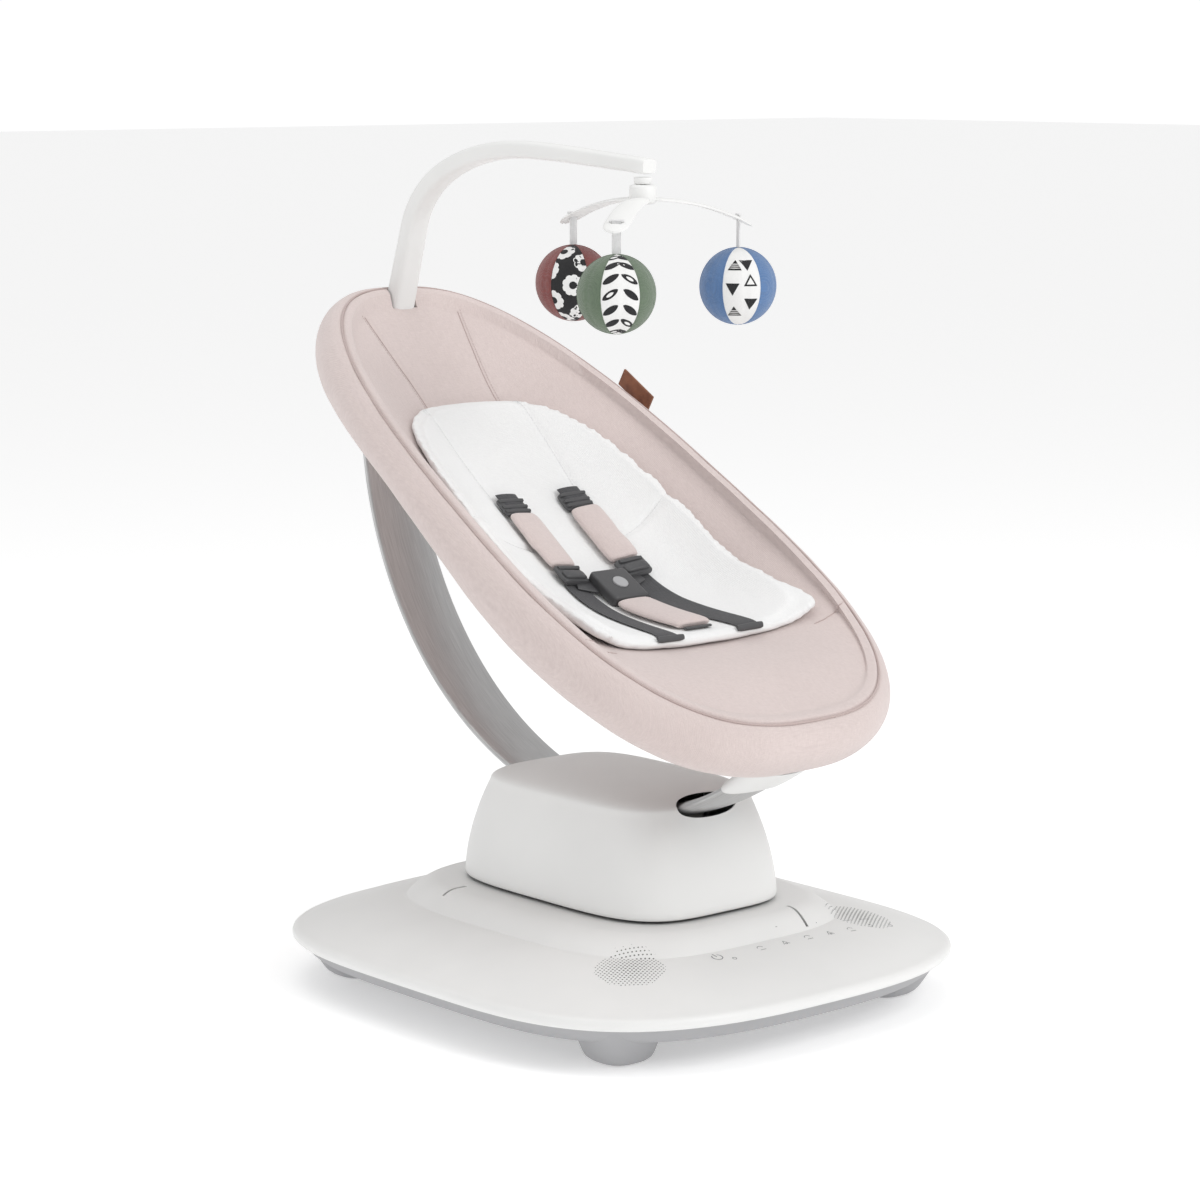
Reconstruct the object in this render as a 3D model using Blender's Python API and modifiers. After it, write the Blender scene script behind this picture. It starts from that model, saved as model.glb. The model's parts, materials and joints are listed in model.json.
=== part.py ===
"""Motorised baby swing: a flat base, a housing that slides sideways and lifts, a reclining seat on a
curved rail, and a toy mobile on an arm. Metres, +Z up, the control panel and the feet towards -Y."""

import math

import bmesh
import bpy
from mathutils import Matrix, Vector

# ---- clearances ----
GAP = 0.0003            # between pieces that touch
RUNNING = 0.00008       # radial play of a shaft or rod that slides or turns
SLIDING = 0.0010        # between shells and plates that pass each other

# ---- base ----
BASE_HALF_WIDTH = 0.2475
BASE_HALF_LENGTH = 0.2767
BASE_POWER_X = 2.7      # roundness of the base outline at its sides
BASE_POWER_Y = 3.9      # and at its ends
RIM_Z = 0.0480          # height of the cover's rim
COVER_WALL = 0.0026
COVER_LIP = 0.0060      # depth of the cover's edge
TRAY_BOTTOM = 0.0225
TRAY_WALL = 0.0025
FOOT_X = 0.1600
FOOT_Y = 0.1820
FOOT_SPREAD = 0.0080    # how far outwards a foot leans on its way up to the tray
FOOT_TOP_HALF = 0.0355
FOOT_BOTTOM_HALF = 0.0240
FOOT_TOP_Z = 0.0360
PAD_RADIUS = 0.0150
SPEAKER_X = 0.0900
SPEAKER_Y = 0.1850
PAD_HEIGHT = 0.0030

# ---- raised collar round the housing ----
COLLAR_FOOT_X = 0.1520
COLLAR_FOOT_Y = 0.1860
COLLAR_FOOT_Z = 0.0730
COLLAR_TOP_X = 0.1240
COLLAR_TOP_Y = 0.1640
COLLAR_TOP_Z = 0.0890
COLLAR_POWER = 3.6
SLOT_WIDTH = 0.0030
SLOT_LENGTH = 0.0400
SLOT_SIDE_Y = 0.0850    # where the side slot crosses the collar
SLOT_FRONT_X = 0.0630   # where the front slot crosses it

# ---- travel ----
SWAY = 0.0300           # sideways, each way
LIFT = 0.0380           # upwards from the parked height
RECLINE_BACK = math.radians(18)
RECLINE_UP = math.radians(4)

# ---- carriage, rods and drives ----
NECK_HALF_WIDTH = 0.0340
NECK_HALF_LENGTH = 0.0940
NECK_TOP = 0.1350
NECK_POWER = 7
NECK_WALL = 0.0020
CARRIAGE_BOTTOM = 0.0360
CARRIAGE_TOP = 0.0540
ROD_RADIUS = 0.0040
ROD_Y = 0.0800
BUSH_WALL = 0.0030
BRACKET_THICKNESS = 0.0080
POST_RADIUS = 0.0050
POST_Y = 0.0660
GEAR_MODULE = 0.0015
GEAR_TEETH = 16
PRESSURE_ANGLE = math.radians(20)
BACKLASH = 0.0004       # taken off the width of each tooth
LIFT_PINION_Z = 0.1050
LIFT_GEAR_WIDTH = 0.0080
SWAY_PINION_Y = 0.0420
SWAY_GEAR_WIDTH = 0.0048
SHAFT_RADIUS = 0.0025
SPRING_RADIUS = 0.0110
SPRING_WIRE = 0.0008
SPRING_TURNS = 6
SPRING_Y = -0.0400

# ---- housing ----
HOUSING_HALF_WIDTH = 0.0980
HOUSING_HALF_LENGTH = 0.1446
HOUSING_POWER = 3.9
HOUSING_BOTTOM = 0.0945
HOUSING_SHOULDER = 0.1840
HOUSING_TOP = 0.1990
HOUSING_TAPER = 0.17
HOUSING_WALL = 0.0026
CHASSIS_Z = 0.1400
CHASSIS_THICKNESS = 0.0060
CHEEK_THICKNESS = 0.0040
CHEEK_TOP = 0.1860
KNOB_RADIUS = 0.0160
KNOB_Z = 0.1240
KNOB_DEPTH = 0.0140

# ---- rail, an arc in the middle plane ----
PIVOT_Z = 0.5050        # the arc's centre, on the recline axis
RAIL_RADIUS = 0.3395    # to the middle of the oval bar
RAIL_THICKNESS = 0.0130
RAIL_HALF_WIDTH = 0.0320
RAIL_POWER = 2.2        # roundness of the bar's section
RAIL_OUTER = RAIL_RADIUS + RAIL_THICKNESS / 2
RAIL_INNER = RAIL_RADIUS - RAIL_THICKNESS / 2
RAIL_FRONT = math.radians(40.2)   # from straight down, towards -Y
RAIL_REAR = math.radians(-101)
SLEEVE_START = math.radians(29)
SLEEVE_END = math.radians(39)
SLEEVE_START_HALF = (0.0345, 0.0095)   # half width and half depth of the sleeve's section
SLEEVE_END_HALF = (0.0380, 0.0140)
HEAD_BRACKET_END = math.radians(-107.5)
SHOE_ANGLE = math.radians(12)

# ---- seat, in a tilted frame: x across, s up towards the head, h off the rim plane ----
SEAT_Y = 0.0376
SEAT_Z = 0.4484
SEAT_TILT = math.radians(30.4)
SEAT_HALF_LENGTH = 0.3330
SEAT_HALF_WIDTH = 0.1610
SEAT_POWER = 2.69
SEAT_TAPER = 0.132      # how much narrower the head is than the foot
BAND_OUT = 0.0168       # how far the side band stands out past the seam
BAND_DEPTH = 0.0520
HEM_RISE = 0.24         # how much shallower the band is along the middle of each side
CLOTH = 0.0030
BOWL_DEPTH = 0.0750
BOWL_LOW_S = -0.0600
HOOP_RADIUS = 0.0090
HOOP_H = -0.0260
HOOP_INSET = 0.0020
INSERT_THICKNESS = 0.0080
INSERT_S = -0.0100
INSERT_EDGE = ((0, -0.1980), (0.0800, -0.1965), (0.1240, -0.1890), (0.1310, -0.1680), (0.1270, -0.1200),
               (0.1215, -0.0600), (0.1205, 0.0000), (0.1140, 0.0690), (0.1080, 0.1060), (0.0980, 0.1410),
               (0.0790, 0.1710), (0.0450, 0.1900), (0, 0.1950))   # its right side, from the foot to the head
INSERT_LIFT = 0.0020    # the liner stands this far off the bowl

# ---- harness ----
STRAP_X = 0.0370
STRAP_LIFT = 0.0028     # webbing and plastic over the liner
WEBBING = 0.0016
WEBBING_HALF_WIDTH = 0.0125
PAD_HALF_WIDTH = 0.0165
PAD_THICKNESS = 0.0090
PAD_TOP_S = 0.0360
PAD_BOTTOM_S = -0.0360
BUCKLE_S = -0.0730
BUCKLE_HALF_WIDTH = 0.0205
BUCKLE_HALF_LENGTH = 0.0210
BUCKLE_THICKNESS = 0.0120
BUTTON_RADIUS = 0.0075
BUTTON_TRAVEL = 0.0030

# ---- mobile ----
ARM_HALF_WIDTH = 0.0105
ARM_THICKNESS = 0.0170
ARM_LINE = ((0.3200, 0.5980), (0.3120, 0.6240), (0.3020, 0.6560), (0.2880, 0.6940),
            (0.2610, 0.7220), (0.2210, 0.7410), (0.1750, 0.7515), (0.1290, 0.7540),
            (0.0800, 0.7520), (0.0250, 0.7480), (-0.0400, 0.7430))
MOBILE_Y = -0.0310
MOBILE_POST_RADIUS = 0.0080
HUB_RADIUS = 0.0120
HUB_TOP = 0.7270
HUB_BOTTOM = 0.7100
BLADE_REACH = 0.1000
BLADE_HALF_WIDTH = 0.0120
BLADE_THICKNESS = 0.0030
BLADE_DROP = 0.0240
BALL_REACH = 0.0876
BALL_RADIUS = 0.0340
BALL_Z = 0.6370
BALL_TURNS = (93.5, -26.5, 213.5)
TAPE_HALF_WIDTH = 0.0040
TAPE_THICKNESS = 0.0012
TAPE_SLOT = 0.0026      # half the slot, along the blade
TAPE_BAR_RISE = 0.0042  # the bar across the strap's top, over the middle of the blade

SIDES = 40              # points round the large outlines
UP = Vector((0, 0, 1))
FORWARD_PLANE = Matrix(((0, 0, 1, 0), (1, 0, 0, 0), (0, 1, 0, 0), (0, 0, 0, 1)))


# ---- scene and small tools ----

for old in list(bpy.data.objects):
    bpy.data.objects.remove(old)

PARTS = bpy.data.collections.new("baby_swing")
CUTTERS = bpy.data.collections.new("cutters")
bpy.context.scene.collection.children.link(PARTS)
bpy.context.scene.collection.children.link(CUTTERS)
CUTTERS.hide_render = True


def finish(name, color, roughness, metallic=0.0):
    made = bpy.data.materials.new(name)
    made.use_nodes = True
    shader = made.node_tree.nodes["Principled BSDF"]
    shader.inputs["Base Color"].default_value = (*color, 1)
    shader.inputs["Roughness"].default_value = roughness
    shader.inputs["Metallic"].default_value = metallic
    made.diffuse_color = (*color, 1)
    return made


WHITE_SHELL = finish("white_shell", (0.86, 0.86, 0.85), 0.45)
GREY_SHELL = finish("grey_shell", (0.42, 0.42, 0.43), 0.50)
RUBBER = finish("rubber", (0.10, 0.10, 0.10), 0.80)
STEEL = finish("steel", (0.62, 0.62, 0.63), 0.30, 1.0)
RAIL_METAL = finish("rail_metal", (0.55, 0.55, 0.55), 0.38, 0.8)
DARK_PLASTIC = finish("dark_plastic", (0.10, 0.10, 0.10), 0.50)
NYLON = finish("nylon", (0.75, 0.74, 0.70), 0.45)
BOARD = finish("board", (0.05, 0.18, 0.10), 0.55)
PINK_CLOTH = finish("pink_cloth", (0.67, 0.55, 0.53), 0.90)
WHITE_CLOTH = finish("white_cloth", (0.90, 0.90, 0.90), 0.90)
WEBBING_CLOTH = finish("webbing", (0.10, 0.10, 0.10), 0.85)
LEATHER = finish("leather", (0.27, 0.10, 0.04), 0.60)
RED_CLOTH = finish("red_cloth", (0.25, 0.06, 0.05), 0.90)
BLUE_CLOTH = finish("blue_cloth", (0.07, 0.17, 0.36), 0.90)
GREEN_CLOTH = finish("green_cloth", (0.10, 0.17, 0.11), 0.90)


def empty(name, parent=None, matrix=None):
    made = bpy.data.objects.new(name, None)
    PARTS.objects.link(made)
    made.parent = parent
    if matrix:
        made.matrix_basis = matrix
    return made


DATUM = empty("datum")
SEAT = empty("seat_frame", DATUM,
             Matrix.Translation((0, SEAT_Y, SEAT_Z)) @ Matrix.Rotation(SEAT_TILT, 4, "X"))


def add(name, mesh, material, parent=DATUM, matrix=None):
    """A part, or a cutter when it has no material."""
    made = bpy.data.objects.new(name, mesh)
    (PARTS if material else CUTTERS).objects.link(made)
    made.parent = parent
    if matrix:
        made.matrix_basis = matrix
    if material:
        mesh.materials.clear()
        mesh.materials.append(material)
    else:
        made.hide_render = True
        made.display_type = "WIRE"
    return made


def mesh_of(name, shape, smooth=None, recalculate=True):
    mesh = bpy.data.meshes.new(name)
    if recalculate:
        bmesh.ops.recalc_face_normals(shape, faces=shape.faces)
    shape.to_mesh(mesh)
    shape.free()
    if smooth:
        mesh.shade_smooth()
        mesh.set_sharp_from_angle(angle=math.radians(smooth))
    return mesh


def bevel(made, width, segments=1, angle=40):
    rounder = made.modifiers.new("rounded edges", "BEVEL")
    rounder.width = width
    rounder.segments = segments
    rounder.limit_method = "ANGLE"
    rounder.angle_limit = math.radians(angle)
    return made


def block(name, low, high, material, parent=DATUM, edge=0.0):
    """A box between two corners."""
    shape = bmesh.new()
    bmesh.ops.create_cube(shape, size=1.0)
    low, high = Vector(low), Vector(high)
    size = high - low
    bmesh.ops.scale(shape, vec=size, verts=shape.verts)
    made = add(name, mesh_of(name, shape), material, parent, Matrix.Translation((low + high) / 2))
    return bevel(made, edge) if edge else made


def round_bar(name, radius, start, end, material, parent=DATUM, sides=24, end_radius=None, edge=0.0):
    """A cylinder, or a cone when end_radius is given, from one point to another."""
    start, end = Vector(start), Vector(end)
    along = end - start
    shape = bmesh.new()
    tip = radius if end_radius is None else end_radius
    bmesh.ops.create_cone(shape, cap_ends=True, segments=sides, radius1=radius, radius2=tip,
                          depth=along.length)
    matrix = Matrix.Translation((start + end) / 2) @ UP.rotation_difference(along).to_matrix().to_4x4()
    made = add(name, mesh_of(name, shape, 40), material, parent, matrix)
    return bevel(made, edge) if edge else made


def slab(name, outline, half, material, parent=DATUM, matrix=None, edge=0.0, segments=1):
    """A flat outline given thickness both ways, made from a filled curve."""
    curve = bpy.data.curves.new(name, "CURVE")
    curve.dimensions = "2D"
    curve.fill_mode = "BOTH"
    curve.extrude = half
    line = curve.splines.new("POLY")
    line.points.add(len(outline) - 1)
    for point, (x, y) in zip(line.points, outline):
        point.co = (x, y, 0, 1)
    line.use_cyclic_u = True
    holder = bpy.data.objects.new(name + "_outline", curve)
    CUTTERS.objects.link(holder)
    graph = bpy.context.evaluated_depsgraph_get()
    mesh = bpy.data.meshes.new_from_object(holder.evaluated_get(graph))
    bpy.data.objects.remove(holder)
    shape = bmesh.new()
    shape.from_mesh(mesh)
    bmesh.ops.remove_doubles(shape, verts=shape.verts, dist=1e-6)
    made = add(name, mesh_of(name, shape, 40), material, parent, matrix)
    return bevel(made, edge, segments) if edge else made


def loft(name, rings, material, parent=DATUM, close_start=True, close_end=True, wall=0.0, smooth=50):
    """A skin over rings of equal length, anticlockwise from above. An end ring of one point is a pole.

    A wall makes it a shell: inwards from rings that climb, or, when negative, from rings that go down."""
    shape = bmesh.new()
    rows = [[shape.verts.new(point) for point in ring] for ring in rings]
    for row, following in zip(rows, rows[1:]):
        count = max(len(row), len(following))
        for i in range(count):
            j = (i + 1) % count
            corners = [row[i % len(row)], row[j % len(row)], following[j % len(following)],
                       following[i % len(following)]]
            shape.faces.new(list(dict.fromkeys(corners)))
    for wanted, row in ((close_start, rows[0]), (close_end, rows[-1])):
        if wanted and len(row) > 1:
            shape.faces.new(row)
    made = add(name, mesh_of(name, shape, smooth, not wall), material, parent)
    if wall:
        thick = made.modifiers.new("wall", "SOLIDIFY")
        thick.thickness = abs(wall)
        thick.offset = -1 if wall > 0 else 1
        thick.use_even_offset = False
    return made


def boolean(made, other, operation):
    change = made.modifiers.new(operation.lower(), "BOOLEAN")
    change.operation = operation
    change.object = other
    change.solver = "EXACT"
    return made


def cut(made, *cutters):
    for cutter in cutters:
        boolean(made, cutter, "DIFFERENCE")
    return made


def join(made, *others):
    """Adds other shapes to a part; they go to the cutters, so they aren't parts of their own."""
    for other in others:
        boolean(made, other, "UNION")
    return made


def superellipse(half_x, half_y, power_x, power_y=None, count=SIDES):
    power_y = power_y or power_x
    points = []
    for i in range(count):
        turn = 2 * math.pi * i / count
        c, s = math.cos(turn), math.sin(turn)
        points.append((half_x * math.copysign(abs(c) ** (2 / power_x), c),
                       half_y * math.copysign(abs(s) ** (2 / power_y), s)))
    return points


def level(outline, z, centre=(0, 0)):
    return [(x + centre[0], y + centre[1], z) for x, y in outline]


def arc(radius, start, end, steps):
    """Points in the (y, z) plane round the recline axis, angles from straight down towards -Y."""
    angles = [start + (end - start) * i / steps for i in range(steps + 1)]
    return [(-radius * math.sin(a), PIVOT_Z - radius * math.cos(a)) for a in angles]


def sector(name, inner, outer, start, end, half, material, steps=24, edge=0.0, parent=DATUM):
    outline = arc(outer, start, end, steps) + arc(inner, end, start, steps)
    return slab(name, outline, half, material, parent, FORWARD_PLANE, edge)


# ---- base: tray, cover, feet and what lies inside ----

def base_outline(inset, count=SIDES):
    return superellipse(BASE_HALF_WIDTH - inset, BASE_HALF_LENGTH - inset, BASE_POWER_X, BASE_POWER_Y, count)


def collar_outline(half_x, half_y):
    return superellipse(half_x, half_y, COLLAR_POWER)


def make_tray():
    tray_top = RIM_Z - COVER_LIP - GAP
    rings = [level(base_outline(0.0035), tray_top),
             level(base_outline(0.0070), tray_top - 0.0065),
             level(base_outline(0.0160), TRAY_BOTTOM + 0.0035),
             level(base_outline(0.0270), TRAY_BOTTOM),
             [(0, 0, TRAY_BOTTOM)]]
    tray = loft("base_tray", rings, GREY_SHELL, close_start=False, wall=-TRAY_WALL)
    for side_x in (-1, 1):
        for side_y in (-1, 1):
            centre = Vector((side_x * FOOT_X, side_y * FOOT_Y, 0))
            lean = Vector((side_x, side_y, 0)) * FOOT_SPREAD
            foot_rings = []
            for share in (0, 0.06, 0.3, 0.6, 1):
                z = 0.0012 + (FOOT_TOP_Z - 0.0012) * share
                half = FOOT_BOTTOM_HALF + (FOOT_TOP_HALF - FOOT_BOTTOM_HALF) * share ** 0.7
                foot_rings.append(level(superellipse(half, half, 2.8, count=20), z,
                                        (centre + share * lean)[:2]))
            name = f"foot_{'left' if side_x < 0 else 'right'}_{'front' if side_y < 0 else 'rear'}"
            join(tray, loft(name + "_form", foot_rings, None))
            recess = round_bar(name + "_recess", PAD_RADIUS + GAP, centre, centre + PAD_HEIGHT * UP, None)
            cut(tray, recess)
            pad = name.replace("foot", "foot_pad")
            round_bar(pad, PAD_RADIUS, centre, centre + (PAD_HEIGHT - GAP) * UP, RUBBER)
    jack = round_bar("power_inlet_hole", 0.0075, (0, BASE_HALF_LENGTH - 0.03, 0.0345),
                     (0, BASE_HALF_LENGTH + 0.01, 0.0345), None)
    cut(tray, jack)
    inlet = round_bar("power_inlet", 0.0072, (0, BASE_HALF_LENGTH - 0.0240, 0.0345),
                      (0, BASE_HALF_LENGTH - 0.0060, 0.0345), DARK_PLASTIC)
    cut(inlet, round_bar("power_inlet_bore", 0.0028, (0, BASE_HALF_LENGTH - 0.0180, 0.0345),
                         (0, BASE_HALF_LENGTH, 0.0345), None))
    return tray


def dome_height(share):
    """Height of the cover between its rim (share 0) and the collar's foot (share 1)."""
    rise = COLLAR_FOOT_Z - RIM_Z - 0.0010
    return RIM_Z + 0.0010 + rise * (1 - (1 - share) ** 1.35)


def make_cover():
    rim = base_outline(0.0060)
    foot = collar_outline(COLLAR_FOOT_X, COLLAR_FOOT_Y)
    rings = [level(base_outline(0.0010), RIM_Z - COVER_LIP), level(base_outline(0), RIM_Z - 0.0030),
             level(base_outline(0.0018), RIM_Z - 0.0004), level(rim, RIM_Z + 0.0010)]
    for share in (0.2, 0.4, 0.6, 0.8, 1.0):
        between = [(a[0] + (b[0] - a[0]) * share, a[1] + (b[1] - a[1]) * share) for a, b in zip(rim, foot)]
        rings.append(level(between, dome_height(share)))
    for share in (0.35, 0.75, 1.0):
        width = COLLAR_FOOT_X + (COLLAR_TOP_X - COLLAR_FOOT_X) * share
        length = COLLAR_FOOT_Y + (COLLAR_TOP_Y - COLLAR_FOOT_Y) * share
        height = COLLAR_FOOT_Z + (COLLAR_TOP_Z - COLLAR_FOOT_Z) * math.sin(share * math.pi / 2)
        rings.append(level(collar_outline(width, length), height))
    opening = (NECK_HALF_WIDTH + SWAY + 2 * SLIDING, NECK_HALF_LENGTH + 6 * SLIDING)
    rings.append(level(superellipse(*opening, NECK_POWER), COLLAR_TOP_Z))
    cover = loft("base_cover", rings, WHITE_SHELL, close_start=False, close_end=False, wall=COVER_WALL)
    slot_x = (COLLAR_FOOT_X + COLLAR_TOP_X) / 2 - 0.0330
    slot_y = (COLLAR_FOOT_Y + COLLAR_TOP_Y) / 2 - 0.0300
    side = block("side_slot", (-slot_x - SLOT_LENGTH, SLOT_SIDE_Y, 0.05),
                 (-slot_x, SLOT_SIDE_Y + SLOT_WIDTH, 0.12), None)
    front = block("front_slot", (SLOT_FRONT_X, -slot_y - SLOT_LENGTH, 0.05),
                  (SLOT_FRONT_X + SLOT_WIDTH, -slot_y, 0.12), None)
    cut(cover, side, front)


def make_electronics():
    floor = TRAY_BOTTOM + TRAY_WALL + GAP
    for side, label in ((-1, "left"), (1, "right")):
        at = Vector((side * SPEAKER_X, -SPEAKER_Y, floor + 0.0025))
        speaker = round_bar(f"speaker_{label}", 0.0140, at, at + 0.0160 * UP, DARK_PLASTIC,
                            end_radius=0.0300)
        cut(speaker,
            round_bar(f"speaker_cone_{label}", 0.0060, at + 0.0080 * UP, at + 0.0170 * UP, None,
                      end_radius=0.0270))
    block("control_board", (-0.0550, -0.2250, 0.0400), (0.0550, -0.1950, 0.0418), BOARD)


# ---- gears ----

def gear_outline(teeth):
    """An involute outline about the origin, a tooth gap along +X and backlash taken off the flanks."""
    pitch = GEAR_MODULE * teeth / 2
    base = pitch * math.cos(PRESSURE_ANGLE)
    tip = pitch + 0.95 * GEAR_MODULE
    root = pitch - 1.25 * GEAR_MODULE
    half_tooth = math.pi / (2 * teeth) - BACKLASH / (2 * pitch)
    involute = math.tan(PRESSURE_ANGLE) - PRESSURE_ANGLE
    outline = []
    for tooth in range(teeth):
        middle = 2 * math.pi * (tooth + 0.5) / teeth
        flank = []
        for step in range(4):
            radius = max(base, root) + (tip - max(base, root)) * step / 3
            at = math.acos(min(1.0, base / radius))
            flank.append((radius, half_tooth + involute - (math.tan(at) - at)))
        flank.insert(0, (root, flank[0][1]))
        polar = [(r, middle - a) for r, a in flank] + [(r, middle + a) for r, a in reversed(flank)]
        outline += [(r * math.cos(a), r * math.sin(a)) for r, a in polar]
    return outline


def rack_outline(low, high, back):
    """A rack between two heights, its teeth towards -X, its pitch line at 0 and a tooth centred at 0."""
    pitch = math.pi * GEAR_MODULE
    slope = math.tan(PRESSURE_ANGLE)
    half = pitch / 4 - BACKLASH / 2
    tip, root = 0.8 * GEAR_MODULE, 1.2 * GEAR_MODULE
    first, last = math.ceil(low / pitch + 0.5), math.floor(high / pitch - 0.5)
    points = [(root, low)]
    for tooth in range(first, last + 1):
        middle = tooth * pitch
        points += [(root, middle - half - root * slope), (-tip, middle - half + tip * slope),
                   (-tip, middle + half - tip * slope), (root, middle + half + root * slope)]
    points += [(root, high), (back, high), (back, low)]
    return points


# ---- carriage: slides sideways on two rods, and carries the lift posts and both drives ----

def make_carriage(tray):
    middle_z = (CARRIAGE_BOTTOM + CARRIAGE_TOP) / 2
    bracket_x = NECK_HALF_WIDTH + SWAY + 0.0420
    plate = block("carriage_plate", (-NECK_HALF_WIDTH - 0.002, -NECK_HALF_LENGTH, CARRIAGE_BOTTOM),
                  (NECK_HALF_WIDTH + 0.002, NECK_HALF_LENGTH, CARRIAGE_TOP), NYLON, edge=0.0015)
    bush_radius = ROD_RADIUS + BUSH_WALL
    for side_y, label in ((-1, "front"), (1, "rear")):
        y = side_y * ROD_Y
        round_bar(f"guide_rod_{label}", ROD_RADIUS, (-bracket_x, y, middle_z), (bracket_x, y, middle_z),
                  STEEL, sides=24)
        cut(plate,
            round_bar(f"rod_bore_{label}", bush_radius + GAP, (-0.1, y, middle_z), (0.1, y, middle_z),
                      None, sides=24))
        reach = NECK_HALF_WIDTH + 0.0018
        bush = round_bar(f"rod_bush_{label}", bush_radius, (-reach, y, middle_z), (reach, y, middle_z),
                         DARK_PLASTIC, sides=24)
        cut(bush,
            round_bar(f"bush_bore_{label}", ROD_RADIUS + RUNNING, (-0.1, y, middle_z), (0.1, y, middle_z),
                      None, sides=24))
    for side_x, hand in ((-1, "left"), (1, "right")):
        low, high = sorted((side_x * (bracket_x - BRACKET_THICKNESS), side_x * (bracket_x + 0.0040)))
        floor = TRAY_BOTTOM + TRAY_WALL - 0.0010
        bracket = block(f"rod_bracket_{hand}", (low, -ROD_Y - 0.010, floor),
                        (high, ROD_Y + 0.010, middle_z + 0.008), None)
        join(tray, bracket)
    for y in (-ROD_Y, ROD_Y):
        cut(tray,
            round_bar(f"bracket_bore_{y}", ROD_RADIUS + GAP, (-bracket_x - GAP, y, middle_z),
                      (bracket_x + GAP, y, middle_z), None, sides=24))
    neck = slab("neck_sleeve", superellipse(NECK_HALF_WIDTH, NECK_HALF_LENGTH, NECK_POWER, count=48),
                (NECK_TOP - CARRIAGE_TOP - GAP) / 2, WHITE_SHELL,
                matrix=Matrix.Translation((0, 0, (NECK_TOP + CARRIAGE_TOP + GAP) / 2)))
    hollow = slab("neck_hollow",
                  superellipse(NECK_HALF_WIDTH - NECK_WALL, NECK_HALF_LENGTH - NECK_WALL, NECK_POWER,
                               count=48),
                  0.1, None, matrix=Matrix.Translation((0, 0, 0.1)))
    cut(neck, hollow)
    for side_y, label in ((-1, "front"), (1, "rear")):
        y = side_y * POST_Y
        round_bar(f"lift_post_{label}", POST_RADIUS, (0, y, CARRIAGE_TOP - 0.004),
                  (0, y, NECK_TOP + 0.0020), STEEL, sides=24)
        cut(plate,
            round_bar(f"post_seat_{label}", POST_RADIUS + GAP, (0, y, CARRIAGE_TOP - 0.004 - GAP),
                      (0, y, 0.1), None, sides=24))
    return plate


def make_lift_drive():
    pitch = GEAR_MODULE * GEAR_TEETH / 2
    z = LIFT_PINION_Z
    pinion = slab("lift_pinion", gear_outline(GEAR_TEETH), LIFT_GEAR_WIDTH / 2, DARK_PLASTIC,
                  matrix=Matrix.Translation((0, 0, z)) @ FORWARD_PLANE)
    motor_end = -LIFT_GEAR_WIDTH / 2 - 0.0020
    motor_start = -NECK_HALF_WIDTH + NECK_WALL + SLIDING
    join(pinion,
         round_bar("lift_shaft", SHAFT_RADIUS, (motor_end - 0.008, 0, z),
                   (LIFT_GEAR_WIDTH / 2 + 0.002, 0, z), None, sides=20))
    motor = block("lift_motor", (motor_start, -0.0110, z - 0.0120), (motor_end, 0.0110, z + 0.0120),
                  GREY_SHELL, edge=0.002)
    stand = block("lift_motor_stand", (motor_start + 0.002, -0.0080, CARRIAGE_TOP + GAP),
                  (motor_end - 0.002, 0.0080, z), None)
    join(motor, stand)
    cut(motor,
        round_bar("lift_motor_bore", SHAFT_RADIUS + RUNNING, (motor_end - 0.0085, 0, z), (0, 0, z), None,
                  sides=20))
    low = z - LIFT - 0.0100
    rack = rack_outline(low - z, CHASSIS_Z - GAP - z, 0.0080)
    slab("lift_rack", rack, LIFT_GEAR_WIDTH / 2 + 0.0010, NYLON,
         matrix=Matrix.Translation((0, pitch, z)) @ FORWARD_PLANE)


def make_spring():
    """A coil between the carriage and the lifting chassis, with a flat turn at each end."""
    low = CARRIAGE_TOP + SPRING_WIRE + GAP
    high = CHASSIS_Z - SPRING_WIRE - GAP
    per_turn = 10
    curve = bpy.data.curves.new("lift_spring", "CURVE")
    curve.dimensions = "3D"
    curve.bevel_depth = SPRING_WIRE
    curve.bevel_resolution = 2
    curve.use_fill_caps = True
    line = curve.splines.new("POLY")
    line.points.add(SPRING_TURNS * per_turn)
    for i, point in enumerate(line.points):
        turn = 2 * math.pi * i / per_turn
        point.co = (SPRING_RADIUS * math.cos(turn), SPRING_Y + SPRING_RADIUS * math.sin(turn),
                    low + (high - low) * i / (SPRING_TURNS * per_turn), 1)
    made = bpy.data.objects.new("lift_spring", curve)
    PARTS.objects.link(made)
    made.parent = DATUM
    curve.materials.append(STEEL)


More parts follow.
